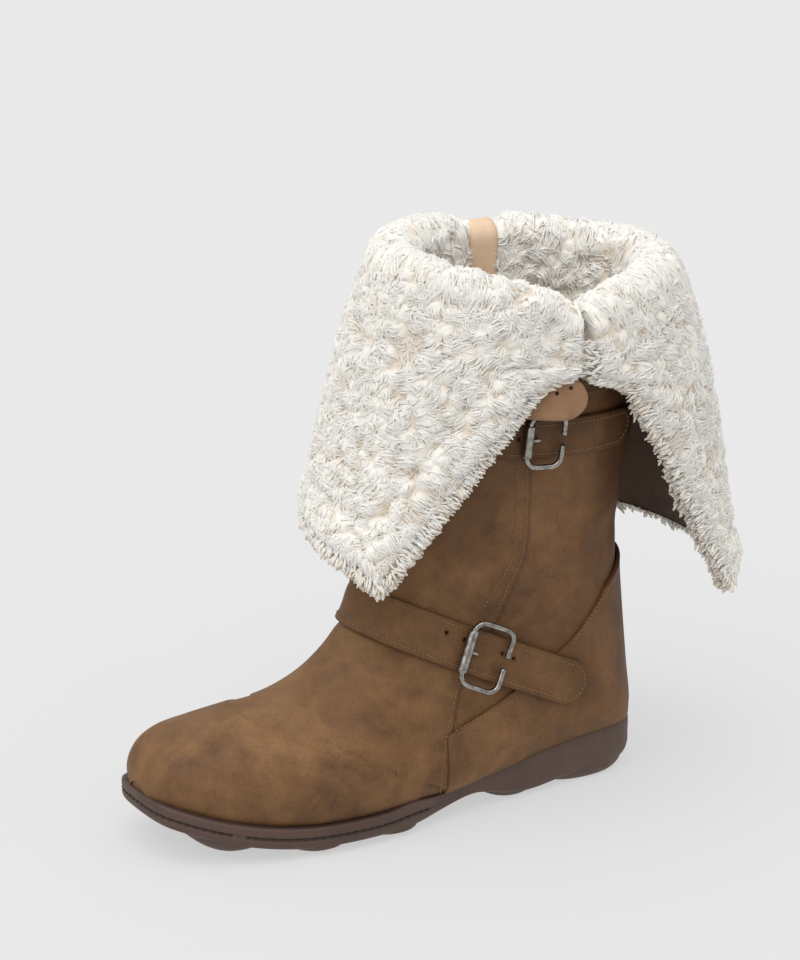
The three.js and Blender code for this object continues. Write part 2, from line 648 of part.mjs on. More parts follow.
// A point of that face
function leatherPoint(round, down) {
  const turn = turnAt(round);
  const rowHeight = shaftHeight - SECTIONS[lastSection - 1].lowZ;
  if (down <= insideShare) {
    const share = 1 - down / insideShare;
    return grownPoint(lastSection - (share * cuffTuck) / rowHeight, turn, -wall - cuffGap);
  }
  const edge = grownPoint(lastSection, turn, -wall / 2);
  const outward = faceNormal(lastSection, turn).setZ(0).normalize();
  const radius = wall / 2 + cuffGap;
  const arc = (angle) =>
    edge
      .clone()
      .addScaledVector(outward, radius * Math.cos(angle))
      .add(new THREE.Vector3(0, 0, cuffGap / 2 + radius * Math.sin(angle)));
  if (down <= rollShare) {
    const share = (down - insideShare) / (rollShare - insideShare);
    return arc(lerp(Math.PI, 0.15, share));
  }
  const start = arc(0.15);
  const hem = hemPoint(turn);
  const reach = hem.distanceTo(start);
  const straight = hem.clone().sub(start).normalize();
  const leave = new THREE.Vector3(-column(CUFF, "lead", cuffRow(turn)), 0, -0.25)
    .addScaledVector(straight, 0.55)
    .addScaledVector(outward, 0.2);
  const curve = new THREE.CubicBezierCurve3(
    start,
    start.clone().addScaledVector(leave.normalize(), reach / 3),
    hem.clone().addScaledVector(straight, -reach / 3),
    hem,
  );
  const share = (down - rollShare) / (1 - rollShare);
  const point = curve.getPoint(share);
  // Beside the slit the flap first hangs straight down, so that the two edges meet under the fold
  const near = Math.exp(-(Math.min(round, 1 - round) * cuffGirth) / (slitTop * 0.65));
  const hang = 1 - smooth(share * reach, slitTop, slitTop + slitTurn);
  return point.setX(lerp(point.x, start.x, near * hang));
}

// Thickness of the pile: rounded off at the edges, pressed in at the hem seam and under the pull loop
function pileHeight(round, down, fromSlit, fromHem) {
  const edge = Math.min(fromSlit, fromHem);
  const reach = fleece * 0.75;
  const rounding = edge >= reach ? 1 : Math.sqrt(Math.max(0, 1 - (1 - edge / reach) ** 2));
  const seam = down > rollShare ? seamDepth * Math.exp(-(((edge - seamInset) / 3) ** 2)) : 0;
  return rounding * (fleece - seam) * (1 - 0.45 * loopPress(round));
}

// 1 in the middle of the inner side, where the pull loop presses the pile down
function loopPress(round) {
  const distance = Math.abs(round - 0.5) * cuffGirth;
  return 1 - smooth(distance, loopWidth * 0.56, loopWidth * 1.2);
}

// Places round the cuff and down it, closer together at the edges and beside the pull loop
function cuffStations() {
  const near = [0, 1.2, 3.5, 7, 13, 17.5, 20.5, 24];
  const side = [0.12, 0.186, 0.256, 0.326, 0.395, 0.442].map((share) => share * cuffGirth);
  const loop = [loopWidth * 1.2, loopWidth * 0.85, loopWidth * 0.56].map((d) => cuffGirth / 2 - d);
  const first = [...near, 35, ...side.filter((d) => d < loop[0] - 4), ...loop].map((d) => d / cuffGirth);
  const rounds = [...first, ...first.toReversed().map((r) => 1 - r)];
  const fromHem = [24, 20.5, 17.5, 13, 7, 3.5, 1.2, 0];
  const hem = fromHem.map((d) => 1 - (d / (cuffDrop * 1.12)) * (1 - rollShare));
  const inside = [0, 0.01, 0.035, 0.09, insideShare];
  const roll = [0.25, 0.5, 0.75, 1].map((t) => lerp(insideShare, rollShare, t));
  const fall = [0.06, 0.16, 0.2, 0.245, 0.42, 0.62].map((t) => lerp(rollShare, 1, t));
  return { rounds, downs: [...inside, ...roll, ...fall, ...hem] };
}

// The cuff's leather face and pile face, as grids of points
function cuffFaces() {
  const { rounds, downs } = cuffStations();
  const leather = rounds.map((r) => downs.map((d) => leatherPoint(r, d)));
  const length = (line) => line.slice(1).reduce((sum, p, k) => sum + p.distanceTo(line[k]), 0);
  const toEnds = (line, i) => [length(line.slice(0, i + 1)), length(line.slice(i))];
  const pile = leather.map((line, i) =>
    line.map((p, k) => {
      const fromSlit = Math.min(...toEnds(leather.map((l) => l[k]), i));
      const fromHem = Math.min(...toEnds(line, k));
      const nextLine = leather[Math.min(i + 1, rounds.length - 1)];
      const around = nextLine[k].clone().sub(leather[Math.max(i - 1, 0)][k]);
      const downwards = line[Math.min(k + 1, downs.length - 1)].clone().sub(line[Math.max(k - 1, 0)]);
      const outward = around.cross(downwards).normalize();
      return p.clone().addScaledVector(outward, pileHeight(rounds[i], downs[k], fromSlit, fromHem));
    }),
  );
  return { rounds, downs, leather, pile };
}

const CUFF_FACES = cuffFaces();

// The cuff between its two faces, which meet along its edges
function cuffSolid() {
  const { rounds, downs, leather, pile } = CUFF_FACES;
  const rows = downs.length;
  const half = rounds.length * rows;
  const faces = [];
  for (let i = 0; i < rounds.length - 1; i += 1) {
    for (let k = 0; k < rows - 1; k += 1) {
      const a = i * rows + k;
      const [b, c, d] = [a + rows, a + rows + 1, a + 1];
      faces.push([a, b, c], [a, c, d]);
      faces.push([half + a, half + c, half + b], [half + a, half + d, half + c]);
    }
  }
  return solidFrom([...leather.flat(), ...pile.flat()], faces);
}

// A flat strip through stations, each with its middle, half width and directions across and outward
function ribbonSolid(stations, thickness) {
  const rings = stations.map(({ middle, across, out, half }) => [
    middle.clone().addScaledVector(across, -half),
    middle.clone().addScaledVector(across, half),
    middle.clone().addScaledVector(across, half).addScaledVector(out, thickness),
    middle.clone().addScaledVector(across, -half).addScaledVector(out, thickness),
  ]);
  const last = (rings.length - 1) * 4;
  const ends = [[1, 0, 2], [2, 0, 3], [last, last + 1, last + 2], [last, last + 2, last + 3]];
  return solidFrom(rings.flat(), [...ringFaces(rings.length, 4), ...ends]);
}

// The pull loop lies on the pile, from inside the collar over the fold
function pullLoopSolid() {
  const { rounds, downs, pile } = CUFF_FACES;
  const [one, other] = [pile[rounds.length / 2 - 1], pile[rounds.length / 2]];
  const startIndex = 2; // the row of the cuff that the loop starts from, inside the collar
  const to = downs.findIndex((d) => d > rollShare + 0.01);
  const middles = one.map((p, k) => p.clone().lerp(other[k], 0.5));
  const stations = [];
  for (let k = startIndex; k <= to; k += 1) {
    const across = other[k].clone().sub(one[k]).normalize();
    const before = middles[k].clone().sub(middles[k - 1]).cross(across).normalize().negate();
    const after = middles[k + 1].clone().sub(middles[k]).cross(across).normalize().negate();
    const out = before.clone().add(after).normalize();
    const lift = gap / Math.max(0.5, out.dot(after));
    const middle = middles[k].clone().addScaledVector(out, lift);
    stations.push({ middle, across, out, half: loopWidth / 2 });
  }
  return ribbonSolid(stations, loopThickness);
}

// The point at a given height on one column of the cuff's leather face
function leatherAtHeight(line, z) {
  const outside = (i) => CUFF_FACES.downs[i] > rollShare;
  const k = line.findIndex((p, i) => outside(i) && p.z < z && line[i - 1].z >= z);
  return line[k - 1].clone().lerp(line[k], (line[k - 1].z - z) / (line[k - 1].z - line[k].z));
}

// The top strap: its loose end comes out from under the cuff's front edge and ends over the tab
function topStrapSolid() {
  const [tipX, tipZ] = sidePoint(TOP_STRAP.tip, TOP_STRAP.height);
  const tip = new THREE.Vector3(tipX - heelInset, TOP_STRAP.reach * shaftWidth, tipZ);
  const half = topTabWidth / 2;
  const under = (i, z) => {
    const p = leatherAtHeight(CUFF_FACES.leather[i], z);
    const next = leatherAtHeight(CUFF_FACES.leather[i + 1], z);
    const inward = new THREE.Vector3(next.y - p.y, p.x - next.x, 0).normalize();
    return p.addScaledVector(inward, strapThickness + topStrapGap);
  };
  const onCuff = [9, 8, 7, 4, 1].map((i) => {
    const [low, high] = [under(i, tipZ - half), under(i, tipZ + half)];
    return { middle: low.clone().lerp(high, 0.5), across: high.clone().sub(low).normalize(), half };
  });
  const edge = onCuff.at(-1);
  const reach = edge.middle.distanceTo(tip);
  const free = [0.35, 0.62, 0.76, 0.87, 0.95, 0.99].map((t) => {
    const fromTip = Math.max(0, 1 - ((1 - t) * reach) / half);
    const bulge = new THREE.Vector3(0, 4 * t * (1 - t) * TOP_STRAP.bulge, 0);
    return {
      middle: edge.middle.clone().lerp(tip, t).add(bulge),
      across: edge.across.clone().lerp(new THREE.Vector3(0, 0, 1), t).normalize(),
      half: half * Math.sqrt(1 - fromTip ** 2),
    };
  });
  const stations = [...onCuff, ...free];
  stations.forEach((station, i) => {
    const before = stations[Math.max(0, i - 1)].middle;
    const after = stations[Math.min(stations.length - 1, i + 1)].middle;
    station.out = after.clone().sub(before).cross(station.across).normalize();
    if (station.out.y < 0) station.out.negate();
  });
  return ribbonSolid(stations, strapThickness);
}

// Plain looks of the pieces
const materials = {
  leather: { color: 0x6b4f35, roughness: 0.72, metalness: 0 },
  lining: { color: 0xa9825c, roughness: 0.7, metalness: 0 },
  fleece: { color: 0xece6dc, roughness: 0.95, metalness: 0 },
  rubber: { color: 0x54423b, roughness: 0.62, metalness: 0 },
  footbed: { color: 0xe3dccf, roughness: 0.95, metalness: 0 },
  metal: { color: 0xb9b6b0, roughness: 0.28, metalness: 1 },
};

// A named mesh from a solid
function meshOf(name, solid, look) {
  const { numProp, vertProperties, triVerts } = solid.getMesh();
  const count = vertProperties.length / numProp;
  const position = new Float32Array(count * 3);
  for (let i = 0; i < count; i += 1) {
    position.set(vertProperties.subarray(i * numProp, i * numProp + 3), i * 3);
  }
  const geometry = new THREE.BufferGeometry();
  geometry.setAttribute("position", new THREE.BufferAttribute(position, 3));
  geometry.setIndex(new THREE.BufferAttribute(new Uint32Array(triVerts), 1));
  geometry.computeVertexNormals();
  const mesh = new THREE.Mesh(geometry, new THREE.MeshStandardMaterial(materials[look]));
  mesh.name = name;
  return mesh;
}

// The whole boot
const boot = new THREE.Group();
boot.add(meshOf("outsole", soleSolid(), "rubber"));
boot.add(meshOf("upper", upperSolid(), "leather"));
boot.add(meshOf("insole", insoleSolid(), "footbed"));
boot.add(meshOf("heel_counter", counterSolid(), "leather"));
boot.add(meshOf("cuff", cuffSolid(), "fleece"));
boot.add(meshOf("pull_loop", pullLoopSolid(), "lining"));
boot.add(meshOf("strap_top", topStrapSolid(), "lining"));
for (const [name, strap] of Object.entries(STRAPS)) {
  boot.add(meshOf(`strap_${name}`, strapSolid(strap), "leather"));
  const { frame, roller, prong } = buckleSolids(strap);
  boot.add(meshOf(`buckle_frame_${name}`, frame, "metal"));
  if (!strap.end) continue;
  boot.add(meshOf(`buckle_roller_${name}`, roller, "metal"));
  boot.add(meshOf(`buckle_prong_${name}`, prong, "metal"));
}

export default boot;
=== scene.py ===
import math

import bpy
import numpy as np
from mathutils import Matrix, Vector
from mathutils.bvhtree import BVHTree
from mathutils.kdtree import KDTree


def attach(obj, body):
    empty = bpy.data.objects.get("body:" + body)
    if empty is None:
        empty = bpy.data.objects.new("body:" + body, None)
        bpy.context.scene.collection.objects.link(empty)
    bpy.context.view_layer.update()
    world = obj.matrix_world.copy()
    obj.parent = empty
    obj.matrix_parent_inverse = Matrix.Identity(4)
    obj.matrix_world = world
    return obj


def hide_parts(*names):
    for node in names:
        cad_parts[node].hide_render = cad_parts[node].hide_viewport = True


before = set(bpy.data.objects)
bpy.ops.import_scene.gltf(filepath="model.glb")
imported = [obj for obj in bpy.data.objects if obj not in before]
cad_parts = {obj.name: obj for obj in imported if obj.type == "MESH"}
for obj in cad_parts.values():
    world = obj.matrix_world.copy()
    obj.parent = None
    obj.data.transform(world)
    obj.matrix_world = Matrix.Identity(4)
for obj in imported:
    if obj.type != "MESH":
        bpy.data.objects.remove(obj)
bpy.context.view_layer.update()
MM = 0.001

# The camera that took the photograph, from the boot's outline in it
LOOK_AT = np.array([91.0, 0.0, 163.5])
AZIMUTH, ELEVATION = math.radians(150), math.radians(19.8)
DISTANCE = 2500.0
FOCAL = 5250.0  # in pixels of the photograph
PHOTO_WIDTH, PHOTO_HEIGHT = 800, 960
BACK = np.array([
    math.sin(AZIMUTH) * math.cos(ELEVATION),
    -math.cos(AZIMUTH) * math.cos(ELEVATION),
    math.sin(ELEVATION),
])
RIGHT = np.array([math.cos(AZIMUTH), math.sin(AZIMUTH), 0.0])
UP = np.cross(BACK, RIGHT)
EYE = LOOK_AT + BACK * DISTANCE

# Sizes of the boot in millimetres
LAST, INSET = 258.0, 28.0
BALL, SHAFT_WIDTH = 91.0, 98.0
HEEL_SEAT, BALL_SEAT, TOE_SPRING = 22.0, 10.0, 17.0
INSTEP, FOLD = 122.0, 276.0
SHAFT = FOLD / 1.15
WALL, GAP, OVERLAY, STRAP = 2.5, 0.3, 1.5, 2.2
CUFF_GAP, FLEECE, CUFF_TUCK, CUFF_DROP, CUFF_FLARE = 1.4, 9.0, 38.0, 125.0, 55.0
SLIT_TOP, SLIT_TURN, SLIT_HALF_GAP, CUFF_GIRTH = 25.0, 10.0, 0.006, 430.0
SEAM_INSET, SEAM_DEPTH = 20.0, 2.2
LOOP_WIDTH, LOOP_THICKNESS = 16.0, 1.6
STRAP_WIDTH, BUCKLE_LENGTH, BUCKLE_HEIGHT, BUCKLE_CORNER = 23.0, 21.0, 31.0, 5.0
BUCKLE_GAP, WIRE, ROLLER, PRONG, PRONG_LENGTH = 5.5, 1.4, 2.5, 1.0, 4.0
SOLE_RIM, HEEL_RIM, WAIST_RIM, FOXING = 5.0, 2.6, 0.9, 5.0
SOLE_THICKNESS, WAIST_THICKNESS, HEEL_THICKNESS, SHOULDER = 6.8, 3.2, 16.0, 2.0


def table(text):
    """Columns by name, from a heading line and rows of numbers."""
    lines = [line.split() for line in text.strip().splitlines()]
    rows = np.array([[float(word) for word in line] for line in lines[1:]])
    return dict(zip(lines[0], rows.T))


# Sections of the foot from the toe back, as shares of the sizes above
FOOT = table("""
top_x  top_z  low_x  half   centre  mid   top   low
1.0    0.28   0.997  0.08   -0.077  0.42  2.0   2.2
0.992  0.36   0.973  0.215  -0.075  0.36  2.1   2.6
0.965  0.43   0.935  0.315  -0.07   0.32  2.15  3.2
0.922  0.468  0.884  0.39   -0.06   0.29  2.2   3.6
0.86   0.485  0.822  0.445  -0.044  0.28  2.2   3.6
0.79   0.502  0.744  0.482  -0.022  0.28  2.2   3.6
0.725  0.53   0.651  0.497  0.0     0.28  2.1   3.6
0.655  0.6    0.543  0.477  0.012   0.27  2.0   3.6
0.6    0.705  0.426  0.445  0.01    0.26  2.0   3.5
0.563  0.81   0.302  0.424  0.0     0.26  2.0   3.3
0.541  0.905  0.165  0.416  0.0     0.28  2.0   2.9
0.527  1.0    0.022  0.408  0.0     0.31  2.0   2.7
""")

# Sections of the shaft upwards
LEG = table("""
front_x  front_z  back_x  back_z  half   mid   power
0.515    0.12     -0.009  0.034   0.374  0.36  2.4
0.503    0.254    -0.008  0.138   0.384  0.43  2.15
0.493    0.4      0.0     0.284   0.4    0.48  2.0
0.486    0.542    0.01    0.427   0.418  0.5   2.0
0.477    0.686    0.002   0.578   0.44   0.5   2.0
0.465    0.83     -0.028  0.748   0.465  0.5   2.0
0.458    1.0      -0.07   1.0     0.5    0.5   2.0
""")

# The cuff round the boot, by its place on the shaft
CUFF = table("""
turn  ridge  swing   flare  drop  lead
0.25  0.905  0.156   0.98   0.97  -0.5
0.29  0.945  0.141   0.94   1.0   -0.33
0.34  0.974  0.118   0.88   1.03  -0.15
0.42  0.997  0.08    0.77   1.06  0
0.5   1.005  0.05    0.68   1.08  0
0.62  1.01   0.02    0.64   1.1   0
0.75  0.985  0.0     0.64   1.14  0
0.88  0.96   -0.012  0.66   1.22  0
1.0   0.955  -0.035  0.66   1.28  0
1.1   0.95   -0.07   0.66   1.29  0.08
1.18  0.942  -0.105  0.64   1.28  0.2
1.22  0.93   -0.123  0.63   1.26  0.28
1.25  0.905  -0.137  0.62   1.23  0.32
""")

# Lugs under the sole, as shares of the foot's length, and their lift as a share of the toe spring
LUGS = table("""
x       half   lift
0.1085  0.106  0
0.272   0.058  0
0.556   0.072  0
0.708   0.072  0
0.858   0.07   0.3
""")


# Shape
def lerp(a, b, t):
    return a + (b - a) * t


def smooth(x, low, high):
    t = np.clip((x - low) / (high - low), 0, 1)
    return t * t * (3 - 2 * t)


def rounded(value, radius):
    """Height share of an edge rounded over that radius."""
    t = np.clip(value / radius, 0, 1)
    return np.sqrt(np.clip(1 - (1 - t) ** 2, 0, 1))


def unit(v):
    return v / np.maximum(np.linalg.norm(v, axis=-1, keepdims=True), 1e-9)


def column(values, at):
    """Value at row numbers that may lie between rows, on a smooth curve."""
    last = len(values) - 1
    i = np.clip(np.floor(at).astype(int), 0, last - 1)
    f = at - i
    a, b, c, d = (values[np.clip(i + k, 0, last)] for k in (-1, 0, 1, 2))
    bend, after, rise = (c - a) / 2, (d - b) / 2, b - c
    return b + f * (bend + f * (-3 * rise - 2 * bend - after + f * (2 * rise + bend + after)))


def seat_height(x):
    s = x / LAST
    shank = (HEEL_SEAT - BALL_SEAT) * (1 - smooth(s, 0.04, 0.5))
    return BALL_SEAT + shank + TOE_SPRING * np.maximum(0, (s - 0.69) / 0.31) ** 2


SECTIONS = {
    "top_x": np.r_[FOOT["top_x"], LEG["front_x"]] * LAST,
    "top_z": np.r_[FOOT["top_z"] * INSTEP, lerp(INSTEP, SHAFT, LEG["front_z"])],
    "low_x": np.r_[FOOT["low_x"], LEG["back_x"]] * LAST,
    "low_z": np.r_[seat_height(FOOT["low_x"] * LAST), lerp(HEEL_SEAT, SHAFT, LEG["back_z"])],
    "half": np.r_[FOOT["half"] * BALL, LEG["half"] * SHAFT_WIDTH],
    "centre": np.r_[FOOT["centre"] * BALL, LEG["half"] * 0],
    "mid": np.r_[FOOT["mid"], LEG["mid"]],
    "top": np.r_[FOOT["top"], LEG["half"] * 0 + 2],
    "low": np.r_[FOOT["low"], LEG["power"]],
}
LAST_ROW = len(SECTIONS["mid"]) - 1
SHAPED = lerp(INSTEP, SHAFT, 0.6)
FOLD_CREST = FLEECE + WALL / 2 + CUFF_GAP * 1.5


def cuff(key, turn):
    return column(CUFF[key], np.interp(turn, CUFF["turn"], np.arange(len(CUFF["turn"]))))


def ridge_height(turn):
    return cuff("ridge", turn) * FOLD


def face_point(row, turn):
    """Points of the upper's outer face, by section number and turn from the back over the outer side."""
    row, turn = np.broadcast_arrays(np.asarray(row, float), np.asarray(turn, float))
    at = np.clip(row, 0, LAST_ROW)
    get = {key: column(values, at) for key, values in SECTIONS.items()}
    angle = turn * 2 * np.pi
    across, along = np.sin(angle), -np.cos(angle)
    power = np.where(along > 0, get["top"], get["low"])
    reach = np.abs(along) ** (2 / power)
    mid = get["mid"]
    share = np.where(along > 0, mid + (1 - mid) * reach, mid - mid * reach)
    y = get["centre"] + np.sign(across) * get["half"] * np.abs(across) ** (2 / power)
    x = lerp(get["low_x"], get["top_x"], share)
    z = lerp(get["low_z"], get["top_z"], share)
    wrapped = np.mod(turn, 1)
    edge = ridge_height(np.where(wrapped < 0.25, wrapped + 1, wrapped)) - FOLD_CREST
    shaped = SHAPED + (z - SHAPED) * (edge - SHAPED) / (SHAFT - SHAPED)
    return np.stack([x - INSET, y, np.where(z > SHAPED, shaped, z)], -1)


def face_normal(row, turn):
    d_row, d_turn = 0.04, 0.006
    at = np.clip(row, d_row, LAST_ROW - d_row)
    up = face_point(at + d_row, turn) - face_point(at - d_row, turn)
    around = face_point(at, turn + d_turn) - face_point(at, turn - d_turn)
    return unit(np.cross(up, around))


def grown(row, turn, grow):
    return face_point(row, turn) + face_normal(row, turn) * np.asarray(grow)[..., None]


def grid_faces(rows, columns, closed=False):
    """Triangles of a grid of points, numbered row by row."""
    r = np.arange(rows - 1)[:, None] * columns
    c = np.arange(columns if closed else columns - 1)
    nxt = (c + 1) % columns
    a, b, d, e = r + c, r + nxt, r + columns + c, r + columns + nxt
    return np.concatenate([np.stack([a, b, e], -1).reshape(-1, 3), np.stack([a, e, d], -1).reshape(-1, 3)])


# Finding places on the boot
SKIN_ROWS, SKIN_TURNS = 150, 120


class Skin:
    """The boot's outer form, grown by a distance, to find places on it."""

    def __init__(self, grow):
        rows = np.linspace(0, LAST_ROW, SKIN_ROWS)[:, None]
        turns = np.linspace(0, 1, SKIN_TURNS, endpoint=False)
        points = grown(rows, turns, grow).reshape(-1, 3)
        faces = grid_faces(SKIN_ROWS, SKIN_TURNS, closed=True)
        self.tree = BVHTree.FromPolygons(points.tolist(), faces.tolist())

    def cast(self, start, direction):
        hit = self.tree.ray_cast(Vector(start), Vector(direction))
        if hit[0] is None:
            hit = self.tree.find_nearest(Vector(start) + Vector(direction) * DISTANCE)
        normal = np.array(hit[1])
        return np.array(hit[0]), normal * (-1 if normal @ np.asarray(direction) > 0 else 1)

    def photo(self, x, y):
        """The place that shows at a pixel of the photograph."""
        return self.cast(EYE, photo_ray(x, y))

    def side(self, x, z):
        """The place on the outer side that shows in side view, x from the back of the last."""
        return self.cast((x - INSET, 3 * BALL, z), (0, -1, 0))


def lengths_along(line):
    return np.r_[0, np.cumsum(np.linalg.norm(np.diff(line, axis=0), axis=1))]


def even_path(line, count):
    """That many points, evenly spaced along a line."""
    steps = lengths_along(line)
    even = np.linspace(0, steps[-1], count)
    return np.stack([np.interp(even, steps, line[:, k]) for k in range(line.shape[1])], -1)


def smooth_path(points, count):
    """That many points, evenly spaced, on a smooth curve through the given ones."""
    points = np.asarray(points, float)
    at = np.linspace(0, len(points) - 1, 40 * len(points))
    return even_path(np.stack([column(points[:, k], at) for k in range(points.shape[1])], -1), count)


def bezier(a, b, c, d, t):
    return (1 - t) ** 3 * a + 3 * (1 - t) ** 2 * t * b + 3 * (1 - t) * t ** 2 * c + t ** 3 * d


def photo_ray(x, y):
    """Direction from the camera through a pixel of the photograph."""
    return unit(-BACK * FOCAL + RIGHT * (x - PHOTO_WIDTH / 2) - UP * (y - PHOTO_HEIGHT / 2))


SKIN = {grow: Skin(grow) for grow in (0, OVERLAY)}


# Meshes
def mesh_object(name, points, faces, material, tone=None, sharp=None):
    """A named piece from points in millimetres. tone is a colour per point, for the materials to read."""
    mesh = bpy.data.meshes.new(name)
    points = np.asarray(points, np.float32) * MM
    faces = np.asarray(faces, np.int32)
    sides = faces.shape[1]
    mesh.vertices.add(len(points))
    mesh.vertices.foreach_set("co", points.ravel())
    mesh.loops.add(faces.size)
    mesh.loops.foreach_set("vertex_index", faces.ravel())
    mesh.polygons.add(len(faces))
    mesh.polygons.foreach_set("loop_start", np.arange(0, faces.size, sides, dtype=np.int32))
    mesh.polygons.foreach_set("use_smooth", np.ones(len(faces), bool))
    if tone is not None:
        layer = mesh.color_attributes.new("tone", "FLOAT_COLOR", "POINT")
        colour = np.ones((len(points), 4), np.float32)
        colour[:, : tone.shape[1]] = tone
        layer.data.foreach_set("color", colour.ravel())
    mesh.update(calc_edges=True)
    mesh.validate()
    if sharp is not None:
        mesh.set_sharp_from_angle(angle=math.radians(sharp))
    piece = bpy.data.objects.new(name, mesh)
    bpy.context.scene.collection.objects.link(piece)
    mesh.materials.append(material)
    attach(piece, "root")
    return piece


def joined(parts):
    """Points, faces and tones of several meshes as one."""
    points, faces, tones, start = [], [], [], 0
    for part in parts:
        points.append(part[0])
        faces.append(np.asarray(part[1]) + start)
        tones.append(part[2] if len(part) > 2 else np.ones((len(part[0]), 3)))
        start += len(part[0])
    return np.concatenate(points), np.concatenate(faces), np.concatenate(tones)


def small_tubes(centre, side, up, width, angle):
    """Many small tubes as one mesh. centre, side and up are (tubes, rings, 3) and width (tubes, rings)."""
    tubes, rings = centre.shape[:2]
    ring = np.cos(angle)[:, None] * side[:, :, None, :] + np.sin(angle)[:, None] * up[:, :, None, :]
    points = centre[:, :, None, :] + ring * width[:, :, None, None]
    faces = grid_faces(rings, len(angle), closed=True)
    faces = faces[None] + (np.arange(tubes) * rings * len(angle))[:, None, None]
    return points.reshape(-1, 3), faces.reshape(-1, 3)


# Soft blobs of darker dye and of painted shade in side view (painted shade under the cuff, at the back and
# below the lower strap): place, half sizes and what is left of the light
DYE_AND_SHADE = table("""
x z across high left
30 215 90 75 0.80
-35 185 48 105 0.60
-30 55 40 55 0.80
42 80 34 40 0.84
60 205 22 40 0.88
""")


def dye_and_painted_shade(points):
    """How light the leather is at points: blobs of darker dye and of painted shade, the same on both sides.
    """
    shade = np.ones(points.shape[:-1])
    for x, z, across, high, left in zip(*DYE_AND_SHADE.values()):
        away = ((points[..., 0] - x) / across) ** 2 + ((points[..., 2] - z) / high) ** 2
        shade = shade * (1 - (1 - left) * np.exp(-away))
    return shade


def split(params, faces, value, level):
    """Cuts the triangles along value == level, so that an edge of the mesh runs there."""
    over = value - level
    over[np.abs(over) < 1e-7] = 0
    sign = np.sign(over)
    corner = sign[faces]
    crossing = (corner.max(1) > 0) & (corner.min(1) < 0)
    kept, cut = faces[~crossing], faces[crossing]
    if not len(cut):
        return params, faces, value
    corner = sign[cut]
    positive = (corner > 0).sum(1)
    lone = np.where(positive == 1, np.argmax(corner > 0, 1), np.argmax(corner < 0, 1))
    zero = (corner == 0).any(1)
    lone = np.where(zero, np.argmax(corner == 0, 1), lone)
    a, b, c = (cut[np.arange(len(cut)), (lone + k) % 3] for k in (0, 1, 2))
    whole = ~zero
    edges = np.concatenate([
        np.stack([a[whole], b[whole]], 1),
        np.stack([a[whole], c[whole]], 1),
        np.stack([b[zero], c[zero]], 1),
    ])
    edges = np.sort(edges, 1)
    unique, where = np.unique(edges, axis=0, return_inverse=True)
    where = where.reshape(-1) + len(params)
    va, vb = over[unique[:, 0]], over[unique[:, 1]]
    t = (va / (va - vb))[:, None]
    fresh = lerp(params[unique[:, 0]], params[unique[:, 1]], t)
    params = np.concatenate([params, fresh])
    value = np.concatenate([value, np.full(len(fresh), level)])
    count = int(whole.sum())
    p, q, r = where[:count], where[count: 2 * count], where[2 * count:]
    made = [
        np.stack([a[whole], p, q], 1),
        np.stack([p, b[whole], c[whole]], 1),
        np.stack([p, c[whole], q], 1),
        np.stack([a[zero], b[zero], r], 1),
        np.stack([a[zero], r, c[zero]], 1),
    ]
    return params, np.concatenate([kept, *made]), value


def tidy_mesh(faces, *arrays):
    """Drops the points that no face uses."""
    used, index = np.unique(faces, return_inverse=True)
    return index.reshape(faces.shape), [array[used] for array in arrays]


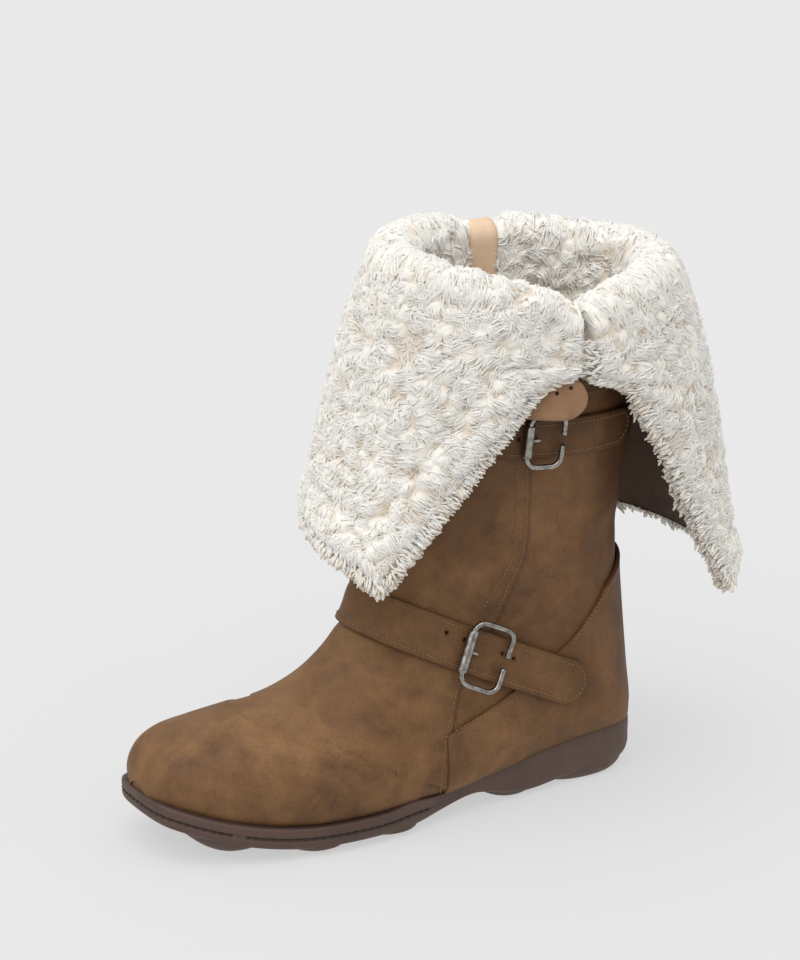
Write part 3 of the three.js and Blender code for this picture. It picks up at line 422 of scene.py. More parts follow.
# Materials
class Nodes:
    """A material's nodes, made by short calls."""

    def __init__(self, name):
        self.material = bpy.data.materials.new(name)
        self.material.use_nodes = True
        self.tree = self.material.node_tree
        self.shader = self.tree.nodes["Principled BSDF"]
        self.coords = self.tree.nodes.new("ShaderNodeTexCoord").outputs["Object"]

    def new(self, kind, inputs=(), **settings):
        node = self.tree.nodes.new("ShaderNode" + kind)
        for key, value in settings.items():
            setattr(node, key, value)
        for key, value in dict(inputs).items():
            self.put(node.inputs[key], value)
        return node

    def put(self, socket, value):
        if isinstance(value, bpy.types.NodeSocket):
            self.tree.links.new(value, socket)
        else:
            socket.default_value = value

    def noise(self, size, detail=3.0, rough=0.55, distortion=0.0, coords=None):
        """Noise with features of that size in millimetres."""
        inputs = {"Vector": coords or self.coords, "Scale": 1 / (size * MM), "Detail": detail,
                  "Roughness": rough, "Distortion": distortion}
        return self.new("TexNoise", inputs).outputs["Fac"]

    def ramp(self, value, stops):
        node = self.new("ValToRGB", {"Fac": value})
        elements = node.color_ramp.elements
        while len(elements) < len(stops):
            elements.new(0.5)
        for element, (place, colour) in zip(elements, stops):
            element.position = place
            element.color = (*colour, 1) if len(colour) == 3 else colour
        return node.outputs["Color"]

    def level(self, value, low, high, to_low=0.0, to_high=1.0):
        inputs = {"Value": value, "From Min": low, "From Max": high, "To Min": to_low, "To Max": to_high}
        return self.new("MapRange", inputs, interpolation_type="SMOOTHSTEP").outputs["Result"]

    def maths(self, operation, a, b=0.0):
        node = self.new("Math", operation=operation)
        self.put(node.inputs[0], a)
        self.put(node.inputs[1], b)
        return node.outputs[0]

    def mix(self, share, a, b, blend="MIX"):
        node = self.new("Mix", data_type="RGBA", blend_type=blend)
        for index, value in ((0, share), (6, a), (7, b)):
            if not isinstance(value, (bpy.types.NodeSocket, float, int)) and len(value) == 3:
                value = (*value, 1)
            self.put(node.inputs[index], value)
        return node.outputs[2]

    def tinted(self, colour, red, green, blue):
        """A colour times another, given by its parts."""
        other = self.new("CombineColor", {"Red": red, "Green": green, "Blue": blue}).outputs[0]
        return self.mix(1.0, colour, other, "MULTIPLY")

    def tone(self):
        node = self.new("Attribute", attribute_name="tone")
        parts = self.new("SeparateColor", {"Color": node.outputs["Color"]})
        return parts.outputs["Red"], parts.outputs["Green"], parts.outputs["Blue"]

    def bump(self, height, distance, strength=1.0, normal=None):
        inputs = {"Height": height, "Distance": distance * MM, "Strength": strength}
        if normal is not None:
            inputs["Normal"] = normal
        return self.new("Bump", inputs).outputs["Normal"]

    def finish(self, colour, roughness, normal=None, **plain):
        self.put(self.shader.inputs["Base Color"], colour)
        self.put(self.shader.inputs["Roughness"], roughness)
        if normal is not None:
            self.put(self.shader.inputs["Normal"], normal)
        for key, value in plain.items():
            self.shader.inputs[key.replace("_", " ")].default_value = value
        return self.material


def srgb(red, green, blue):
    """A colour as it shows on a screen, for the shaders."""
    parts = [value / 255 for value in (red, green, blue)]
    return tuple(p / 12.92 if p <= 0.04045 else ((p + 0.055) / 1.055) ** 2.4 for p in parts)


def nubuck(name, light, middle, dark, shift=0.0):
    """Mottled nubuck. tone: red darkens towards cut edges and seams, green is how light the dye and the
    painted shade leave it.
    """
    n = Nodes(name)
    coords = n.new("Mapping", {"Vector": n.coords, "Location": (shift, shift, 0)}).outputs[0]
    cloud = n.noise(34, 3, 0.6, 0.6, coords)
    patch = n.noise(11, 4, 0.62, 0.4, coords)
    grain = n.noise(0.9, 3, 0.6, 0, coords)
    mix = n.maths("ADD", n.maths("MULTIPLY", cloud, 0.62), n.maths("MULTIPLY", patch, 0.38))
    colour = n.ramp(mix, [(0.28, dark), (0.5, middle), (0.74, light)])
    speck = n.level(grain, 0.3, 0.75, 0.86, 1.12)
    colour = n.tinted(colour, speck, speck, speck)
    edge, shade, _ = n.tone()
    colour = n.mix(n.maths("MULTIPLY", edge, 0.45), colour, [c * 0.45 for c in dark])
    # darker dye and painted shade, from the green tone
    colour = n.tinted(colour, shade, n.maths("POWER", shade, 1.2), n.maths("POWER", shade, 1.4))
    pore = n.noise(0.55, 2, 0.5, 0, coords)
    normal = n.bump(pore, 0.10, 0.5)
    normal = n.bump(n.noise(2.6, 3, 0.6, 0.3, coords), 0.22, 0.55, normal)
    normal = n.bump(patch, 0.5, 0.35, normal)
    rough = n.level(patch, 0.3, 0.7, 0.56, 0.7)
    return n.finish(colour, rough, normal, Specular_IOR_Level=0.3)


LEATHER_LIGHT = srgb(144, 107, 70)
LEATHER_MIDDLE = srgb(118, 84, 52)
LEATHER_DARK = srgb(82, 56, 34)


def smooth_leather(name, light, dark, roughness=0.5):
    n = Nodes(name)
    colour = n.ramp(n.noise(12, 4, 0.6, 0.3), [(0.3, dark), (0.7, light)])
    edge, _, _ = n.tone()
    colour = n.mix(n.maths("MULTIPLY", edge, 0.5), colour, [c * 0.5 for c in dark])
    normal = n.bump(n.noise(0.8, 3, 0.6), 0.12, 0.5)
    return n.finish(colour, n.level(n.noise(4), 0.3, 0.7, roughness - 0.06, roughness + 0.08), normal,
                    Specular_IOR_Level=0.4)


def wool(name, light, warm, crevice_shade, strand=0.45):
    """Wool. tone: red is the depth, 0 at the root and 1 at the tip, green runs across, blue is random. The
    crevice colour, towards the root and in the gaps between strands, is painted shade.
    """
    n = Nodes(name)
    depth, across, chance = n.tone()
    # painted shade: darker towards the roots
    colour = n.mix(n.level(depth, 0.0, 0.55), crevice_shade, warm)
    colour = n.mix(n.level(depth, 0.3, 0.85), colour, light)
    drift = n.noise(30, 2, 0.5)
    warmth = n.maths("ADD", n.maths("MULTIPLY", chance, 0.5), n.maths("MULTIPLY", drift, 0.6))
    tint = n.level(warmth, 0.35, 0.85)
    colour = n.mix(n.maths("MULTIPLY", tint, 0.4), colour, warm)
    along = n.new("CombineXYZ", {
        "X": n.maths("MULTIPLY", across, 7.0),
        "Y": n.maths("MULTIPLY", chance, 60.0),
        "Z": n.maths("MULTIPLY", depth, 1.5),
    }).outputs[0]
    strands = n.new("TexNoise", {"Vector": along, "Scale": 1.0, "Detail": 2.0}).outputs["Fac"]
    fibre = n.noise(strand, 2, 0.6, 1.0)
    mixed = n.maths("ADD", n.maths("MULTIPLY", strands, 0.6), n.maths("MULTIPLY", fibre, 0.4))
    # painted shade in the gaps between strands
    colour = n.mix(n.level(mixed, 0.3, 0.55, 0.12, 0.0), colour, crevice_shade)
    normal = n.bump(mixed, 0.2, 0.5)
    return n.finish(colour, n.level(fibre, 0.2, 0.8, 0.85, 0.98), normal,
                    Specular_IOR_Level=0.15, Sheen_Weight=0.2, Sheen_Roughness=0.6,
                    Subsurface_Weight=0.6, Subsurface_Radius=(0.006, 0.0054, 0.0045))


def rubber(name):
    n = Nodes(name)
    cloud = n.noise(30, 3, 0.55)
    colour = n.ramp(cloud, [(0.3, srgb(78, 58, 49)), (0.7, srgb(92, 70, 60))])
    edge, _, _ = n.tone()
    # painted shade, from the tone's red: in the channel and on the top edge under the upper
    colour = n.mix(n.maths("MULTIPLY", edge, 0.7), colour, srgb(46, 35, 30))
    normal = n.bump(n.noise(0.5, 2, 0.5), 0.06, 0.5)
    return n.finish(colour, n.level(n.noise(6), 0.3, 0.7, 0.5, 0.62), normal, Specular_IOR_Level=0.4)


def nickel(name):
    n = Nodes(name)
    age = n.noise(3.0, 3, 0.6)
    stops = [(0.3, srgb(112, 107, 100)), (0.55, srgb(158, 154, 148)), (0.75, srgb(186, 183, 178))]
    colour = n.ramp(age, stops)
    normal = n.bump(n.noise(2.4, 2, 0.5), 0.03, 0.3)
    return n.finish(colour, n.level(age, 0.3, 0.7, 0.3, 0.16), normal, Metallic=1.0)


def thread(name, light, dark):
    n = Nodes(name)
    colour = n.mix(n.level(n.noise(0.5, 2), 0.3, 0.7), dark, light)
    return n.finish(colour, n.level(n.noise(0.3), 0.3, 0.7, 0.6, 0.75), n.bump(n.noise(0.25, 1), 0.08, 0.6),
                    Sheen_Weight=0.1)


# Painted shade for the insides of holes.
def painted_hole_shade(name):
    n = Nodes(name)
    colour = n.mix(n.noise(1.0), srgb(26, 18, 12), srgb(38, 27, 19))
    return n.finish(colour, n.level(n.noise(1.0), 0.3, 0.7, 0.85, 0.95))


M_UPPER = nubuck("nubuck_upper", LEATHER_LIGHT, LEATHER_MIDDLE, LEATHER_DARK)
M_COUNTER = nubuck("nubuck_counter", LEATHER_LIGHT, LEATHER_MIDDLE, LEATHER_DARK, 0.21)
M_STRAP = nubuck("nubuck_strap", srgb(134, 98, 62), srgb(110, 78, 47), srgb(78, 53, 31), 0.47)
M_INNER = nubuck("nubuck_inner", srgb(96, 68, 46), srgb(78, 54, 36), srgb(56, 38, 26), 0.8)
M_TAN = smooth_leather("tan_lining", srgb(158, 121, 88), srgb(138, 102, 72), 0.52)
M_LOOP = smooth_leather("tan_loop", srgb(230, 201, 172), srgb(214, 182, 150), 0.5)
# the third colour of each wool is the painted shade in its crevices
M_WOOL = wool("wool", srgb(241, 238, 232), srgb(236, 230, 220), srgb(224, 211, 193))
M_LINING = wool("wool_lining", srgb(232, 222, 206), srgb(214, 200, 180), srgb(172, 152, 128), 0.7)
M_RUBBER = rubber("rubber_sole")
M_METAL = nickel("nickel")
M_THREAD = thread("golden_thread", srgb(158, 118, 70), srgb(116, 82, 46))
M_CREAM = thread("cream_thread", srgb(240, 228, 200), srgb(206, 184, 146))
M_SOLE_THREAD = thread("sole_thread", srgb(52, 38, 32), srgb(34, 25, 21))
M_HOLE_SHADE = painted_hole_shade("hole_shadow")


# Seams in side view
def photo_line(points, skin=0):
    """Places on the boot under pixels of the photograph, on a smooth curve."""
    return [SKIN[skin].photo(x, y) for x, y in smooth_path(points, 12 * len(points))]


def side_line(points, skin=0):
    """The same in side view: x and z."""
    return np.array([[p[0], p[2]] for p, _ in photo_line(points, skin)])


# Edge of the front panel over the back one, down the outer side: shaft, under the strap, vamp
PANEL_EDGE = [(530, 476), (529, 512), (524, 557), (503, 608), (484, 640), (463, 680), (453, 727), (446, 797)]


def extend(line, distance):
    first, last = unit(line[0] - line[1]), unit(line[-1] - line[-2])
    return np.concatenate([[line[0] + first * distance], line, [line[-1] + last * distance]])


PANEL_LINE = extend(side_line(PANEL_EDGE), 60)


def side_distance(points, line):
    """Signed distance in side view from a line, positive on its left as it runs."""
    flat = points[:, [0, 2]]
    best = np.full(len(flat), 1e9)
    signed = np.zeros(len(flat))
    for a, b in zip(line[:-1], line[1:]):
        d = b - a
        t = np.clip(((flat - a) @ d) / (d @ d), 0, 1)
        off = flat - a - t[:, None] * d
        distance = np.hypot(off[:, 0], off[:, 1])
        side = np.sign(d[0] * off[:, 1] - d[1] * off[:, 0])
        closer = distance < best
        best = np.where(closer, distance, best)
        signed = np.where(closer, side * distance, signed)
    return signed


def param_grid(rows, turns, row_count, turn_count):
    row, turn = np.meshgrid(np.linspace(*rows, row_count), np.linspace(*turns, turn_count), indexing="ij")
    return np.stack([row.ravel(), turn.ravel()], -1), grid_faces(row_count, turn_count)


PANEL_STEP = 0.7  # of the front panel over the back one

# Soft folds and dents: side (outer 1, inner -1, both 0), x, z, angle, length, width, depth
CREASES = table("""
side  x    z    angle  length  width  depth
0     118  96   35     34      7      -0.9
0     104  104  30     30      6      0.7
0     112  84   38     30      6      0.6
1     70   118  -10    40      9      -0.8
1     62   131  -6     42      8      0.6
-1    66   120  8      44      9      -0.9
-1    60   134  4      40      8      0.6
0     -8   128  -12    26      7      -0.8
0     -10  142  -10    26      7      0.6
0     150  58   24     34      9      -0.5
0     164  52   18     30      8      0.4
1     96   64   60     26      9      -0.5
-1    88   66   -50    30      9      -0.6
1     28   170  80     44      14     -0.7
-1    20   175  85     50      14     -0.8
""")


def creases(points):
    """Height of the leather's folds at places on the boot."""
    total = np.zeros(len(points))
    for side, x, z, angle, length, width, depth in zip(*CREASES.values()):
        c, s = math.cos(math.radians(angle)), math.sin(math.radians(angle))
        dx, dz = points[:, 0] - x, points[:, 2] - z
        along, across = dx * c + dz * s, -dx * s + dz * c
        bend = across + 0.004 * along ** 2
        fade = 1.0 if side == 0 else smooth(points[:, 1] * side, -8, 14)
        total += fade * depth * np.exp(-((along / length) ** 2) * 2 - (bend / width) ** 2)
    return total


def build_upper():
    params, faces = param_grid((0, LAST_ROW), (0, 1), 190, 140)
    value = side_distance(face_point(*params.T), PANEL_LINE)
    for level in (0.0, 0.25, 0.6):
        params, faces, value = split(params, faces, value, level)
    points, normals = face_point(*params.T), face_normal(*params.T)
    seat = seat_height(points[:, 0] + INSET)
    above = points[:, 2] > seat + 0.5
    faces = faces[above[faces].all(1)]
    panel = side_distance(points, PANEL_LINE)
    edge = np.exp(-np.abs(panel) / 0.7) * 0.9
    height = creases(points) + PANEL_STEP * rounded(panel, 0.6)
    points = points + normals * height[:, None]
    near_sole = np.exp(-np.maximum(points[:, 2] - seat - FOXING, 0) / 3) * 0.55
    # green: darker dye and painted shade under the cuff, at the back and below the straps
    tone = np.stack([np.maximum(edge, near_sole), dye_and_painted_shade(points), np.zeros(len(edge))], -1)
    faces, (points, tone) = tidy_mesh(faces, points, tone)
    ring = face_point(0, np.linspace(0, 1, 60, endpoint=False))
    cap = np.stack([np.full(60, 60), np.arange(60), (np.arange(60) + 1) % 60], -1)
    toe = (np.concatenate([ring, [ring.mean(0)]]), cap, np.tile([[0.5, 1.0, 0.0]], (61, 1)))
    points, faces, tone = joined([(points, faces[:, ::-1], tone), toe])
    piece = mesh_object("upper_leather", points, faces, M_UPPER, tone)
    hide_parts("upper")


def build_lining():
    """The inner face of the upper, down to the footbed."""
    rows, turns = 120, 110
    row = np.linspace(4, LAST_ROW, rows)[:, None]
    turn = np.linspace(0, 1, turns, endpoint=False)
    rng = np.random.default_rng(3)
    lift = -WALL - 0.3 - 0.5 * rng.random((rows, turns))
    points = grown(row, turn, lift).reshape(-1, 3)
    depth = rng.random((rows * turns, 1)) * 0.6 + 0.2
    tone = np.concatenate([depth, depth, depth], 1)
    piece = mesh_object("shaft_lining", points, grid_faces(rows, turns, closed=True), M_LINING, tone)


# Leather overlays
def overlay(name, inside, rows, turns, base, thickness, material, node, step=1.1, extra=None):
    """A piece of leather lying on the boot, where inside(points, turn) is positive, with a rounded edge."""
    params, faces = param_grid(rows, turns, 90, 120)
    value = inside(face_point(*params.T), params[:, 1])
    hit = params[value > -2]
    rows = (max(0, hit[:, 0].min() - 0.05), min(LAST_ROW, hit[:, 0].max() + 0.05))
    turns = (hit[:, 1].min() - 0.004, hit[:, 1].max() + 0.004)
    middle = face_point(np.full(60, sum(rows) / 2), np.linspace(*turns, 60))
    girth = lengths_along(middle)[-1]
    front = 0.5 if turns[0] < 0.5 < turns[1] else sum(turns) / 2
    middle = face_point(np.linspace(*rows, 60), np.full(60, front))
    rise = lengths_along(middle)[-1]
    params, faces = param_grid(rows, turns, int(rise / step) + 3, int(girth / step) + 3)
    value = inside(face_point(*params.T), params[:, 1])
    radius = thickness * 0.45
    for level in (0.0, 0.12 * radius, 0.45 * radius, radius, 2.2 * radius):
        params, faces, value = split(params, faces, value, level)
    faces = faces[(value[faces] >= -1e-6).all(1)]
    points, normals = face_point(*params.T), face_normal(*params.T)
    height = base - 0.25 + (thickness + 0.25) * (0.35 + 0.65 * rounded(value, radius))
    height = np.where(value <= 1e-6, base - 0.25, height)
    if extra is not None:
        height = height + extra(points, value)
    height = height + creases(points)
    points = points + normals * height[:, None]
    edge = np.exp(-np.maximum(value, 0) / 0.55)
    # green: darker dye and painted shade under the cuff, at the back and below the straps
    tone = np.stack([edge, dye_and_painted_shade(points), value * 0], -1)
    faces, (points, tone) = tidy_mesh(faces, points, tone)
    piece = mesh_object(name, points, faces[:, ::-1], material, tone)
    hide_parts(*node)


HOLE_RADIUS = 0.85
# Holes by pixels of the photograph
STRAP_HOLES = {
    "lower": [(444, 632), (462, 639), (499, 652), (510, 657)],
    "upper": [(518, 438)],
    "tab": [],
}
# Places as shares of the last's length and of height. pin is the buckle's place from front to tip.
STRAPS = {
    "lower": dict(height=INSTEP, front=(0.72, 1.02), tip=(0.148, 0.45), end=(0.25, 0.555),
                  pin=0.62, size=1.0, under=GAP * 2 + OVERLAY),
    "upper": dict(height=SHAFT, front=(0.6, 0.817), tip=(0.045, 0.769), end=(0.12, 0.775),
                  pin=0.61, size=0.86, under=GAP),
    "tab": dict(height=SHAFT, front=(0.245, 0.899), tip=(0.115, 0.884), end=None,
                pin=0.0, size=0.6, under=GAP),
}


def side_point(share, height):
    return np.array([share[0] * LAST - INSET, share[1] * height])


def band(points, start, tip, width, round_tip):
    """Distance inside a straight band in side view; and the places along it from its tip, and across it."""
    along = unit(start - tip)
    across = np.array([-along[1], along[0]])
    flat = points[:, [0, 2]] - tip
    u, v = flat @ along, flat @ across
    half = width / 2
    if round_tip:
        inside = np.where(u > half, half - np.abs(v), half - np.hypot(v, half - np.minimum(u, half)))
    else:
        inside = np.minimum(half - np.abs(v), u)
    return inside, u, v


def strap_inside(strap, points, turn, holes=()):
    start = side_point(strap["front"], strap["height"])
    width = STRAP_WIDTH * strap["size"]
    outer, _, _ = band(points, start, side_point(strap["tip"], strap["height"]), width, True)
    inside = outer
    if strap["end"]:
        inner, _, _ = band(points, start, side_point(strap["end"], strap["height"]), width, False)
        inside = np.where(turn > 0.5, inner, outer)
    for hole in holes:
        inside = np.minimum(inside, np.linalg.norm(points - hole, axis=1) - HOLE_RADIUS)
    return inside


def build_straps():
    for name, strap in STRAPS.items():
        holes = [SKIN[0].photo(x, y)[0] for x, y in STRAP_HOLES[name]]

        def inside(points, turn, strap=strap, holes=holes):
            return strap_inside(strap, points, turn, holes)

        turns = (0.02, 0.98) if strap["end"] else (0.02, 0.48)
        overlay(f"strap_leather_{name}", inside, (7, LAST_ROW), turns, strap["under"], STRAP, M_STRAP,
                [f"strap_{name}"])
        if holes:
            # dark discs under the strap's holes: painted shade
            discs = []
            for x, y in STRAP_HOLES[name]:
                place, normal = SKIN[0].photo(x, y)
                discs.append(disc(place + normal * (strap["under"] + 0.4), normal, HOLE_RADIUS * 1.5))
            piece = mesh_object(f"hole_shade_discs_{name}", *joined(discs)[:2], M_HOLE_SHADE)


def frame_of(normal):
    side = unit(np.cross(normal, [0.0, 0.3, 1.0]))
    return side, np.cross(normal, side)


def disc(centre, normal, radius, sides=14):
    a, b = frame_of(normal)
    angle = np.linspace(0, 2 * np.pi, sides, endpoint=False)[:, None]
    points = np.concatenate([[centre], centre + radius * (np.cos(angle) * a + np.sin(angle) * b)])
    k = np.arange(sides)
    return points, np.stack([k * 0, k + 1, (k + 1) % sides + 1], -1)


# Heel counter in side view: from the sole at its front, along its upper edge, to the back seam
COUNTER_EDGE = [(0.455, -0.02), (0.45, 0.37), (0.3, 0.46), (0.18, 0.62), (0.09, 0.83), (-0.1, 1.05)]


def counter_line():
    a, b, c, d = (np.array(COUNTER_EDGE[k]) * [LAST, INSTEP] for k in (1, 2, 3, 4))
    t = np.linspace(0, 1, 24)[:, None]
    curve = bezier(a, b, c, d, t)
    ends = [np.array(COUNTER_EDGE[k]) * [LAST, INSTEP] for k in (0, 5)]
    return np.concatenate([[ends[0]], curve, [ends[1]]]) - [INSET, 0]


COUNTER_LINE = counter_line()


def build_counter():
    def inside(points, _):
        return side_distance(points, COUNTER_LINE)

    def flared(points, value):
        back = smooth(points[:, 0], 12, -18)
        return 0.7 * back * np.exp(-value / 6)

    overlay("counter_leather", inside, (7, LAST_ROW), (-0.5, 0.5), GAP, OVERLAY, M_COUNTER, ["heel_counter"],
            step=1.9, extra=flared)


# Stitches
STITCH_INSET = 2.6  # from a strap's edge
SOLE_STITCHES = dict(length=3.1, pitch=4.2, radius=0.42)
HEM_STITCHES = dict(length=3.6, pitch=4.4, radius=0.42, lift=0.3)


def stitches(path, normals, length=1.5, pitch=2.3, radius=0.26, lift=0.15, sides=6):
    """Short stitches along a path, each a slim capsule bowed over the leather."""
    steps = lengths_along(path)
    count = max(1, int(steps[-1] / pitch))
    starts = (np.arange(count) + 0.5) * steps[-1] / count
    at = starts[:, None] + np.linspace(-0.5, 0.5, 5) * length
    centre = np.stack([np.interp(at, steps, path[:, k]) for k in range(3)], -1)
    up = unit(np.stack([np.interp(at, steps, normals[:, k]) for k in range(3)], -1))
    ahead = unit(np.gradient(centre, axis=1))
    side = unit(np.cross(ahead, up))
    bow = np.array([-0.9, 0.55, 1.0, 0.55, -0.9]) * radius * 0.7
    centre = centre + up * (lift + bow)[None, :, None]
    angle = np.linspace(0, 2 * np.pi, sides, endpoint=False)
    width = np.array([0.45, 0.95, 1.0, 0.95, 0.45]) * radius
    return small_tubes(centre, side, up, np.broadcast_to(width, (count, 5)), angle)


def on_folds(path, normals):
    """A path moved with the leather's folds."""
    return path + normals * creases(path)[:, None]


def unzipped(places):
    """Points and normals as two arrays."""
    return np.array([p for p, _ in places]), np.array([n for _, n in places])


def band_offset_path(strap, offset, margin):
    """Rows and turns of a line on the strap at that place across it, from its tip to its end."""
    turns = np.linspace(0.03, 0.97 if strap["end"] else 0.47, 420)
    rows = np.linspace(6, LAST_ROW, 500)
    points = face_point(rows[:, None], turns[None, :])
    start = side_point(strap["front"], strap["height"])
    path = []
    for k, turn in enumerate(turns):
        tip = strap["tip"] if turn < 0.5 or not strap["end"] else strap["end"]
        tip = side_point(tip, strap["height"])
        _, u, v = band(points[:, k], start, tip, STRAP_WIDTH * strap["size"], turn < 0.5)
        order = np.argsort(v)
        if v.min() < offset < v.max() and np.interp(offset, v[order], u[order]) >= margin:
            path.append((np.interp(offset, v[order], rows[order]), turn))
    return np.array(path)


def strap_stitch_path(strap):
    """Rows and turns of the stitch line: along one edge, round the tip and back along the other edge."""
    half = STRAP_WIDTH * strap["size"] / 2 - STITCH_INSET
    low, high = (band_offset_path(strap, side * half, STRAP_WIDTH * strap["size"] / 2) for side in (-1, 1))
    return low, high, half


def tip_arc(strap, half):
    """Stitches round the strap's tip, on the outer side."""
    start = side_point(strap["front"], strap["height"])
    tip = side_point(strap["tip"], strap["height"])
    along = unit(start - tip)
    across = np.array([-along[1], along[0]])
    centre = tip + along * STRAP_WIDTH * strap["size"] / 2
    angle = np.linspace(-np.pi / 2, np.pi / 2, 24)[:, None]
    flat = centre - along * half * np.cos(angle) + across * half * np.sin(angle)
    skin = Skin(strap["under"] + STRAP)
    return unzipped([skin.side(x + INSET, z) for x, z in flat])


def build_strap_stitches():
    parts = []
    for strap in STRAPS.values():
        low, high, half = strap_stitch_path(strap)
        for line in (low, high):
            if len(line) < 4:
                continue
            top = np.full(len(line), strap["under"] + STRAP)
            path, normals = grown(line[:, 0], line[:, 1], top), face_normal(line[:, 0], line[:, 1])
            parts.append(stitches(on_folds(path, normals), normals))
        parts.append(stitches(*tip_arc(strap, half)))
    piece = mesh_object("strap_stitches", *joined(parts)[:2], M_THREAD)


def sewn_both_sides(points, grow, folded_inside):
    """Stitches along pixels of the photograph, and along the same line on the inner side."""
    skin = Skin(grow)
    path, normals = unzipped([skin.photo(x, y) for x, y in smooth_path(points, 16 * len(points))])
    path = on_folds(path, normals)
    outer = stitches(path, normals)
    path, normals = unzipped([skin.cast((p[0], -3 * BALL, p[2]), (0, 1, 0)) for p in path])
    return [outer, stitches(on_folds(path, normals) if folded_inside else path, normals)]


# Stitch lines by pixels of the photograph
SHAFT_STITCHES = [
    [(517, 400), (517, 440), (517, 476), (516, 515), (512, 557), (498, 585), (483, 608)],
    [(527, 400), (527, 440), (527, 476), (526, 515), (521, 557), (509, 585), (497, 610)],
]
VAMP_STITCHES = [(459, 681), (448, 730), (442, 770), (440, 793)]
COUNTER_STITCHES = [(455, 731), (486, 714), (518, 696)]
COUNTER_STITCHES_HIGH = [(569, 648), (592, 614), (614, 578)]


def build_upper_stitches():
    lines = (*SHAFT_STITCHES, VAMP_STITCHES)
    parts = [part for line in lines for part in sewn_both_sides(line, PANEL_STEP, True)]
    piece = mesh_object("upper_stitches", *joined(parts)[:2], M_THREAD)
    lines = (COUNTER_STITCHES, COUNTER_STITCHES_HIGH)
    parts = [part for line in lines for part in sewn_both_sides(line, GAP + OVERLAY, False)]
    piece = mesh_object("counter_stitches", *joined(parts)[:2], M_THREAD)


# Sole
def sole_edge(side, count):
    """Where the upper leaves the sole, from toe to heel on one side."""
    found = []
    turns = side * np.arange(0.002, 0.254, 0.002)
    for row in np.arange(0, LAST_ROW, 0.05):
        points = face_point(row, turns)
        level = points[:, 2] - seat_height(points[:, 0] + INSET) - FOXING
        k = np.argmax((level[:-1] < 0) & (level[1:] >= 0))
        if level[k] < 0 <= level[k + 1]:
            found.append(lerp(points[k], points[k + 1], level[k] / (level[k] - level[k + 1]))[:2])
    found.append([found[-1][0] - 0.5, 0.0])
    return even_path(np.array(found), count)


SOLE_STEPS = 170
OUTER_EDGE, INNER_EDGE = sole_edge(1, SOLE_STEPS + 1), sole_edge(-1, SOLE_STEPS + 1)
OUTLINE = np.concatenate([OUTER_EDGE, INNER_EDGE[:-1][::-1]])


def ease(values, times):
    for _ in range(times):
        values = (np.roll(values, 1, 0) + 2 * values + np.roll(values, -1, 0)) / 4
    return values


OUTLINE = ease(OUTLINE, 10)
OUTLINE_NORMAL = ease(unit(np.roll(OUTLINE, -1, 0) - np.roll(OUTLINE, 1, 0)), 6)
OUTLINE_NORMAL = unit(np.stack([OUTLINE_NORMAL[:, 1], -OUTLINE_NORMAL[:, 0]], -1))


def forefoot(x):
    return smooth(x / LAST, 0.42, 0.54)


def waist(x):
    return np.exp(-(((x / LAST - 0.4) / 0.085) ** 2))


def shoulder(x):
    return SHOULDER * np.exp(-(((x / LAST - 0.53) / 0.04) ** 2))


def rim_width(x):
    return lerp(lerp(HEEL_RIM, SOLE_RIM, forefoot(x)), WAIST_RIM, waist(x))


def sole_top(x):
    return seat_height(x) + FOXING + shoulder(x)


def sole_underside(x):
    thick = lerp(HEEL_THICKNESS, SOLE_THICKNESS, smooth(x / LAST, 0.2, 0.5))
    return seat_height(x) - lerp(thick, WAIST_THICKNESS, waist(x))


# The sole's side from the top down: share of its height, and how far it stands out from the rim's width
SOLE_PROFILE = table("""
share  out    groove
0.0    -4.0   0
0.0    -1.8   0
0.01   -0.75  0
0.05   -0.25  0
0.13   -0.02  0
0.24   0.0    0
0.34   -0.02  0
0.40   -0.08  0.1
0.44   -0.12  0.8
0.48   -0.14  1.0
0.52   -0.14  0.8
0.56   -0.14  0.1
0.64   -0.1   0
0.74   -0.35  0
0.84   -0.9   0
0.92   -1.8   0
0.97   -3.0   0
1.0    -5.0   0
1.0    -8.0   0
""")


def sole_point(share, out, groove):
    """Ring of the sole at a share of its height."""
    x = OUTLINE[:, 0] + INSET
    width = rim_width(x)
    spread = np.where(out > -1, out * np.minimum(1, width / 2.5), out)
    offset = width + spread - groove * 0.75 * forefoot(x)
    ring = OUTLINE + OUTLINE_NORMAL * offset[:, None]
    height = lerp(sole_top(x), sole_underside(x), share)
    return np.column_stack([ring, height])


def build_sole():
    rings = [sole_point(share, out, groove) for share, out, groove in zip(*SOLE_PROFILE.values())]
    count = len(OUTLINE)
    points = np.concatenate(rings)
    faces = grid_faces(len(rings), count, closed=True)
    caps = []
    for base, turned in ((0, False), ((len(rings) - 1) * count, True)):
        i = np.arange(SOLE_STEPS)
        j = count - 1 - i
        a = np.stack([base + i, base + i + 1, base + j], -1)
        b = np.stack([base + i + 1, base + np.maximum(j - 1, 0), base + j], -1)[:-1]
        both = np.concatenate([a, b])
        caps.append(both[:, ::-1] if turned else both)
    faces = np.concatenate([faces, *caps])
    front = forefoot(OUTLINE[:, 0] + INSET)
    groove = np.concatenate([g * front for g in SOLE_PROFILE["groove"]])
    first = np.concatenate([np.full(count, 1.0 if k < 3 else 0.0) for k in range(len(rings))])
    # red is painted shade: in the channel and on the top rings that tuck under the upper
    tone = np.stack([np.maximum(groove, first * 0.8), groove * 0 + 1, groove * 0], -1)
    parts = [(points, faces, tone)]
    parts += [lug(x * LAST, half * LAST, lift * TOE_SPRING) for x, half, lift in zip(*LUGS.values())]
    points, faces, tone = joined(parts)
    piece = mesh_object("rubber_outsole", points, faces, M_RUBBER, tone, sharp=50)
    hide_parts("outsole")


def side_at(x, line):
    order = np.argsort(line[:, 0])
    return np.interp(x - INSET, line[order, 0], line[order, 1])


